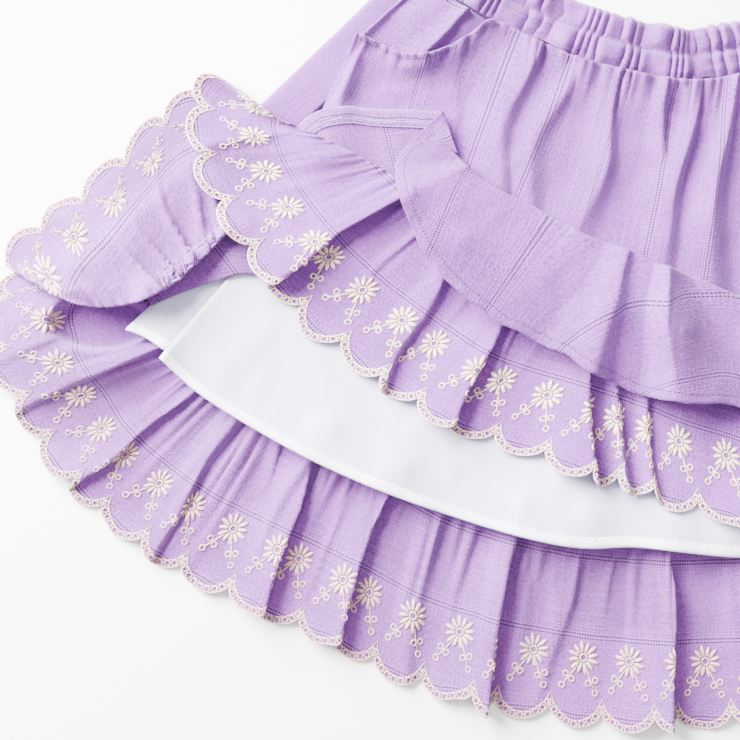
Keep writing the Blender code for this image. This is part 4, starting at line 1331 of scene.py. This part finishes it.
# %% The tier's front
TIER_FRONT = [
    Row(-208, 103, -214, 108, 0.5, 0.5, 1.0),
    Row(-206, 101.5, -229, 120, 1.0, 1.0, 2.0),
    Row(-202, 100, -243, 126.5, 1.0, 1.0, 2.0),
    Row(-195, 98, -251, 117),
    Row(-185, 93, -253, 103),
    Row(-172, 87, -250, 82),
    Row(-159, 80, -242, 62, 0.5, 1.0, 0.5),
    Row(-149, 74, -232, 43, 0.5, 1.5, 1.5),
    Row(-144, 68, -221, 28, 0.5, 1.0, 1.0),
    Row(-139, 61, -210, 14, 0.0, 0.5, 0.5),
    Row(-131, 52, -196, 0, 0.0, 0.5, 0.0),
    Row(-116, 42, -178, -16, 0.0, 0.5, 0.0),
    Row(-97, 31, -155, -33, 0.0, 0.5, 0.0),
    Row(-76, 21, -132, -49, 0.0, 0.5, 0.0),
    Row(-58, 14, -105, -61, 0.0, 0.5, 0.0),
    Row(-40, 7, -75, -71, 0.0, 0.5, 0.0),
    Row(-20, 1, -42, -82, 0.0, 0.5, 0.0),
    Row(2, -3, -9, -94, 0.0, 0.5, 0.0),
    Row(28, -8, 25, -104, 0.0, 0.5, 0.0),
    Row(68, -20, 65, -119, 0.0, 0.5, 0.0),
    Row(110, -32, 105, -134, 0.0, 0.5, 0.0),
    Row(150, -38, 150, -144, 0.0, 0.5, 0.0),
    Row(190, -34, 200, -143, 0.0, 0.5, 0.0),
    Row(222, -20, 250, -128, 0.0, 0.5, 0.0),
    Row(246, -2, 295, -106, 0.0, 0.5, 0.0),
    Row(266, 14, 330, -81, 0.0, 0.5, 0.0),
    Row(282, 24, 353, -59, 0.0, 0.5, 0.0),
    Row(297, 31, 370.5, -38),
]
TIER_FRONT_FOLDS = [
    Fold(-200, 99, -240, 126, 10, 10, 2.0, 4.0, 0, 0.2),
    Fold(-190, 96, -246, 87, 12, 8, 0.3, 2.5, 1, 0.2),
    Fold(-147.5, 66, -215, 24, 38, 7, 6.0, 9.5, 2, 0.8),
    Fold(-131, 50, -185, -10, 10, 5, 3.5, -2.0, 0, 0.3),
    Fold(-114, 40, -155.5, -30, 22, 6, 3.0, 5.0, 2, 0.5),
    Fold(-85, 25, -126, -51, 30, 7, 4.0, 9.0, 1, 0.8),
    Fold(-76, 20, -108, -60, 10, 5, 3.0, 0.0, 0, 0.3),
    Fold(-46, 9, -52, -78, 34, 6, 4.0, 9.0, 2, 0.7),
    Fold(-34, 5, -33, -86, 9, 6, 4.0, 6.5, 2, 0.3),
    Fold(-20, 2, -20, -90, 10, 6, 3.5, 5.5, 2, 0.3),
    Fold(28, -8, 28, -105, 24, 9, 3.0, 5.5, 2, 0.5),
    Fold(68, -20, 72, -122, 26, 9, 3.0, 5.5, 2, 0.5),
    Fold(110, -32, 120, -138, 26, 9, 3.0, 5.5, 2, 0.5),
    Fold(150, -38, 170, -145, 26, 9, 3.0, 5.5, 2, 0.5),
    Fold(196, -32, 222, -138, 26, 9, 3.0, 5.5, 2, 0.5),
    Fold(232, -12, 272, -118, 26, 9, 3.0, 4.5, 2, 0.5),
    Fold(262, 11, 320, -90, 24, 9, 2.5, 3.5, 1, 0.4),
]
tier_front = Sheet(TIER_FRONT, 97.0, TIER_FRONT_FOLDS, steps=44, gathers=(1.5, 22.0, 7.0),
                   wrinkle=0.35, scallop=Scallop, seed=36, uneven=1.7)
tier_front_piece = cloth_piece("tier_front", tier_front, lilac_tier,
                               stripes_along_hem)
tier_front_thread = embroidery("tier_front_embroidery", tier_front, cream_thread)

# %% [markdown]
# ## The plain flounce
#
# The flounce is cut on a curve, like part of a ring, so its hem is longer than its upper edge
# and falls in waves without gathers. That is why the woven ladders turn from across the hem on
# the left to along it further right. The UV map repeats that: it bends the cloth round a ring.

# %% The flounce's front
FLOUNCE_FRONT = [
    Row(-116.5, 85, -123.5, 106, 0.5, 0.5, 0.5),
    Row(-118.5, 86, -135, 95, 0.5, 0.5, 1.0),
    Row(-120, 86.5, -146, 83.5, 1.5, 1.0, 1.5),
    Row(-117, 84, -148, 76, 1.5, 1.5, 2.0),
    Row(-112, 78.5, -146.5, 64, 1.0, 2.5, 4.0),
    Row(-106, 72.5, -141, 49, 1.0, 3.0, 5.0),
    Row(-95, 66, -131, 33, 1.0, 3.0, 5.5),
    Row(-80, 59, -116, 16, 1.0, 3.0, 5.5),
    Row(-64, 50, -96, 0, 1.0, 3.0, 5.0),
    Row(-47, 42, -75, -11, 1.0, 3.0, 4.0),
    Row(-32, 37, -55, -21, 1.0, 3.0, 2.0),
    Row(-20, 31, -40, -28, 1.0, 3.0, 0.0),
    Row(-9, 27, -24, -36, 1.0, 3.0, 0.5),
    Row(8, 20.5, 0, -40, 1.0, 2.5, 0.0),
    Row(26, 13, 25, -43, 1.0, 2.5, 0.0),
    Row(67, -1, 65, -57, 1.0, 2.0, 0.0),
    Row(110, -13, 110, -73, 1.0, 2.0, 0.0),
    Row(150, -19, 155, -82, 1.0, 2.0, 0.0),
    Row(185, -16, 198, -80, 1.0, 2.0, 0.0),
    Row(215, -4, 236, -62, 1.0, 2.0, 0.0),
    Row(239, 14, 269, -38, 1.0, 1.5, 0.0),
    Row(257, 32, 294, -12, 0.5, 1.0, 0.0),
    Row(270, 48, 311, 9),
]
FLOUNCE_FRONT_FOLDS = [
    Fold(-112, 78, -145, 60, 20, 110, 3.5, 5.0, 1, 0.1),
    Fold(-33, 37, -54, -21, 30, 16, 3.0, 7.0, 1, 0.5),
    Fold(-15, 29, -12, -37, 15, 60, 10.0, 15.5, 1, 0.2),
    Fold(38, 9, 38, -48, 24, 12, 1.0, 5.0, 1, 0.3),
    Fold(90, -7, 92, -68, 24, 12, 1.0, 5.0, 1, 0.3),
    Fold(146, -18, 150, -81, 24, 12, 1.0, 5.0, 1, 0.3),
    Fold(192, -14, 208, -77, 24, 12, 1.0, 5.0, 1, 0.3),
    Fold(232, 8, 262, -43, 22, 12, 1.0, 4.0, 1, 0.3),
]
FLOUNCE_RADIUS = 95.0
FLOUNCE_DEPTH = 56.0
ACROSS_AT = 128.0


def round_a_ring(cloth, up):
    """Turns the cloth's measures round a ring, as the flounce was cut."""
    turn = np.pi / 2 - (cloth - ACROSS_AT) / FLOUNCE_RADIUS
    out = FLOUNCE_RADIUS - up + 0.6
    return out * np.cos(turn), out * np.sin(turn)


flounce_front = Sheet(FLOUNCE_FRONT, FLOUNCE_DEPTH, FLOUNCE_FRONT_FOLDS, pitch=1.6, steps=36,
                      wrinkle=0.5, seed=37, softness=(0.3, 1.0), bridging=260, uneven=1.2)
flounce_front_piece = cloth_piece("flounce_front", flounce_front, lilac,
                                  round_a_ring)
sewn_row("flounce_front_stitches", flounce_front, 4.8, lilac_thread_and_stitch_shade, 1.9)

# %% [markdown]
# ## The waistband
#
# The waistband is a casing round a wide elastic, stitched through the middle. The elastic pulls
# it together, so the cloth puffs out in small uneven pillows over and under the stitching. Its
# loop goes all the way round, so the inside is open as on the real skirt.

# %% One flattened loop of gathered cloth
WAIST_HALF_WIDTH = 145.0
WAISTBAND_HEIGHT = 25.5
WAIST_BASE = 4.2
WAIST_CENTRE_Y = 122.5
WAIST_CURVE = 0.0198
WAIST_POWER = 1.6
WAIST_STEPS = 540
WAIST_ROWS = 24
BACK_EVERY = 6
LOOP_GAP = 2.0
LOOP_TURN = 75.0
LOOP_STEPS = 7
PUFF_HEIGHT = 6.2
PUFF_WIDTH = 7.2
PUFF_SEED = 41
PINCH = 0.6
PINCH_WIDTH = 0.07
STITCHED_AT = 0.5
SEAM_SEED = 47
CASING_EDGE = 7.0
GATHERED = 1.6


def puffs(x, up):
    """Tubes of uneven width with sharp creases between them, pinched along the stitching."""
    share = up / WAISTBAND_HEIGHT
    wander = 0.16 * value_noise(x / 7.0, share * 3.0, PUFF_SEED + 1)
    halves = 0.3 * smooth_step((share - STITCHED_AT) / 0.1 + 0.5)
    phase = x / PUFF_WIDTH + 0.85 * value_noise(x / 12.0, 0 * x, PUFF_SEED) + wander
    phase = phase + halves * value_noise(x / 10.0, 0 * x + 9.0, PUFF_SEED + 3)
    turn = phase - np.floor(phase)
    tube = np.sin(np.pi * turn**0.7) ** 0.55
    size = 0.62 + 0.5 * value_noise(x / 9.0, share * 1.2, PUFF_SEED + 2)
    pinch = 1.0 - PINCH * np.exp(-(((share - STITCHED_AT) / PINCH_WIDTH) ** 2))
    ends = np.clip((1.0 - share) / 0.12, 0.0, 1.0) ** 0.5 * np.clip(share / 0.2 + 0.25, 0.0, 1.0)
    return PUFF_HEIGHT * tube * size * pinch * ends


def waist_loop():
    """The flattened loop: its x, its height, and 1.0 wherever it runs along the front."""
    middle = LOOP_GAP / 2 + COTTON
    front = np.linspace(-WAIST_HALF_WIDTH, WAIST_HALF_WIDTH, WAIST_STEPS + 1)
    back = front[::-1][::BACK_EVERY]
    turn = np.radians(np.linspace(LOOP_TURN, -LOOP_TURN, LOOP_STEPS))
    side_x = WAIST_HALF_WIDTH + middle * np.cos(turn)
    loop_x = np.concatenate([front, side_x, back, -side_x, front[:1]])
    loop_z = np.concatenate([np.full(len(front), middle), middle * np.sin(turn),
                             np.full(len(back), -middle), -middle * np.sin(turn), [middle]])
    on_front = np.zeros(len(loop_x))
    on_front[: len(front)] = 1.0
    on_front[-1] = 1.0
    return loop_x, loop_z, on_front


def waist_places(loop_x, loop_z, on_front, up):
    """Every point of the gathered loop: round it, and up from its seam with the body."""
    seam_x = np.clip(loop_x, -WAIST_HALF_WIDTH, WAIST_HALF_WIDTH)
    seam_y = WAIST_CENTRE_Y + WAIST_CURVE * np.abs(seam_x) ** WAIST_POWER
    slope = WAIST_CURVE * WAIST_POWER * np.sign(seam_x) * np.abs(seam_x) ** (WAIST_POWER - 1)
    length = np.hypot(1.0, slope)
    puff = puffs(loop_x[:, None], up[None, :]) * on_front[:, None]
    edge_wave = (0.45 * puffs(loop_x, up[-3] + 0 * loop_x) - 1.2) * on_front
    seam_wave = 1.6 * value_noise(loop_x / 8.0, 0 * loop_x, SEAM_SEED) * on_front - 1.2
    share = up / WAISTBAND_HEIGHT
    x = loop_x[:, None] - np.outer(slope / length, up)
    y = (seam_y + (loop_x - seam_x) * slope)[:, None] + np.outer(1 / length, up)
    y = y + np.outer(edge_wave, share**2) + np.outer(seam_wave, (1.0 - share) ** 3)
    return np.stack([x, y, loop_z[:, None] + WAIST_BASE + puff], axis=-1)


def waist_stitches(places):
    """Short stitches through the middle of the waistband's front."""
    thread = bmesh.new()
    level = int(STITCHED_AT * WAIST_ROWS)
    for k in range(3, WAIST_STEPS - 5, 5):
        start, end = places[[k, k + 3], level] + (0.0, 0.0, 0.35)
        plump_stitch(thread, start, end, 0.5, 0.3, segments=5, rings=3)
    for vertex in thread.verts:
        vertex.co = to_frame(vertex.co)
    bmesh.ops.recalc_face_normals(thread, faces=thread.faces)
    show("waistband_stitches", finished("waistband_stitches", thread), lilac_thread_and_stitch_shade)


def make_waistband():
    """The gathered loop, joined at its ends, and its stitching."""
    loop_x, loop_z, on_front = waist_loop()
    up = np.linspace(0.0, WAISTBAND_HEIGHT, WAIST_ROWS + 1)
    places = waist_places(loop_x, loop_z, on_front, up)
    data = grid_mesh("waistband_cloth", len(loop_x) - 1, WAIST_ROWS)
    column, row = grid_indices(data, len(loop_x) - 1, WAIST_ROWS)
    steps = np.abs(np.diff(loop_x)) + np.abs(np.diff(loop_z))
    round_it = np.concatenate([[0.0], np.cumsum(steps)])
    write_uv(data, up[row] + CASING_EDGE, round_it[column] * GATHERED)
    data.vertices.foreach_set("co", to_frame(places)[column, row].ravel())
    mesh = bmesh.new()
    mesh.from_mesh(data)
    bmesh.ops.remove_doubles(mesh, verts=mesh.verts, dist=0.01 * MM)
    bmesh.ops.recalc_face_normals(mesh, faces=mesh.faces)
    mesh.to_mesh(data)
    mesh.free()
    shown = show("waistband_cloth", data, lilac, COTTON, "waistband")
    waist_stitches(places)
    return shown


waistband_piece = make_waistband()
print("waistband made")

# %% [markdown]
# ## The end
#
# Every piece of the skirt is made above, so the script ends here.

# %% Finish
print("all pieces made")
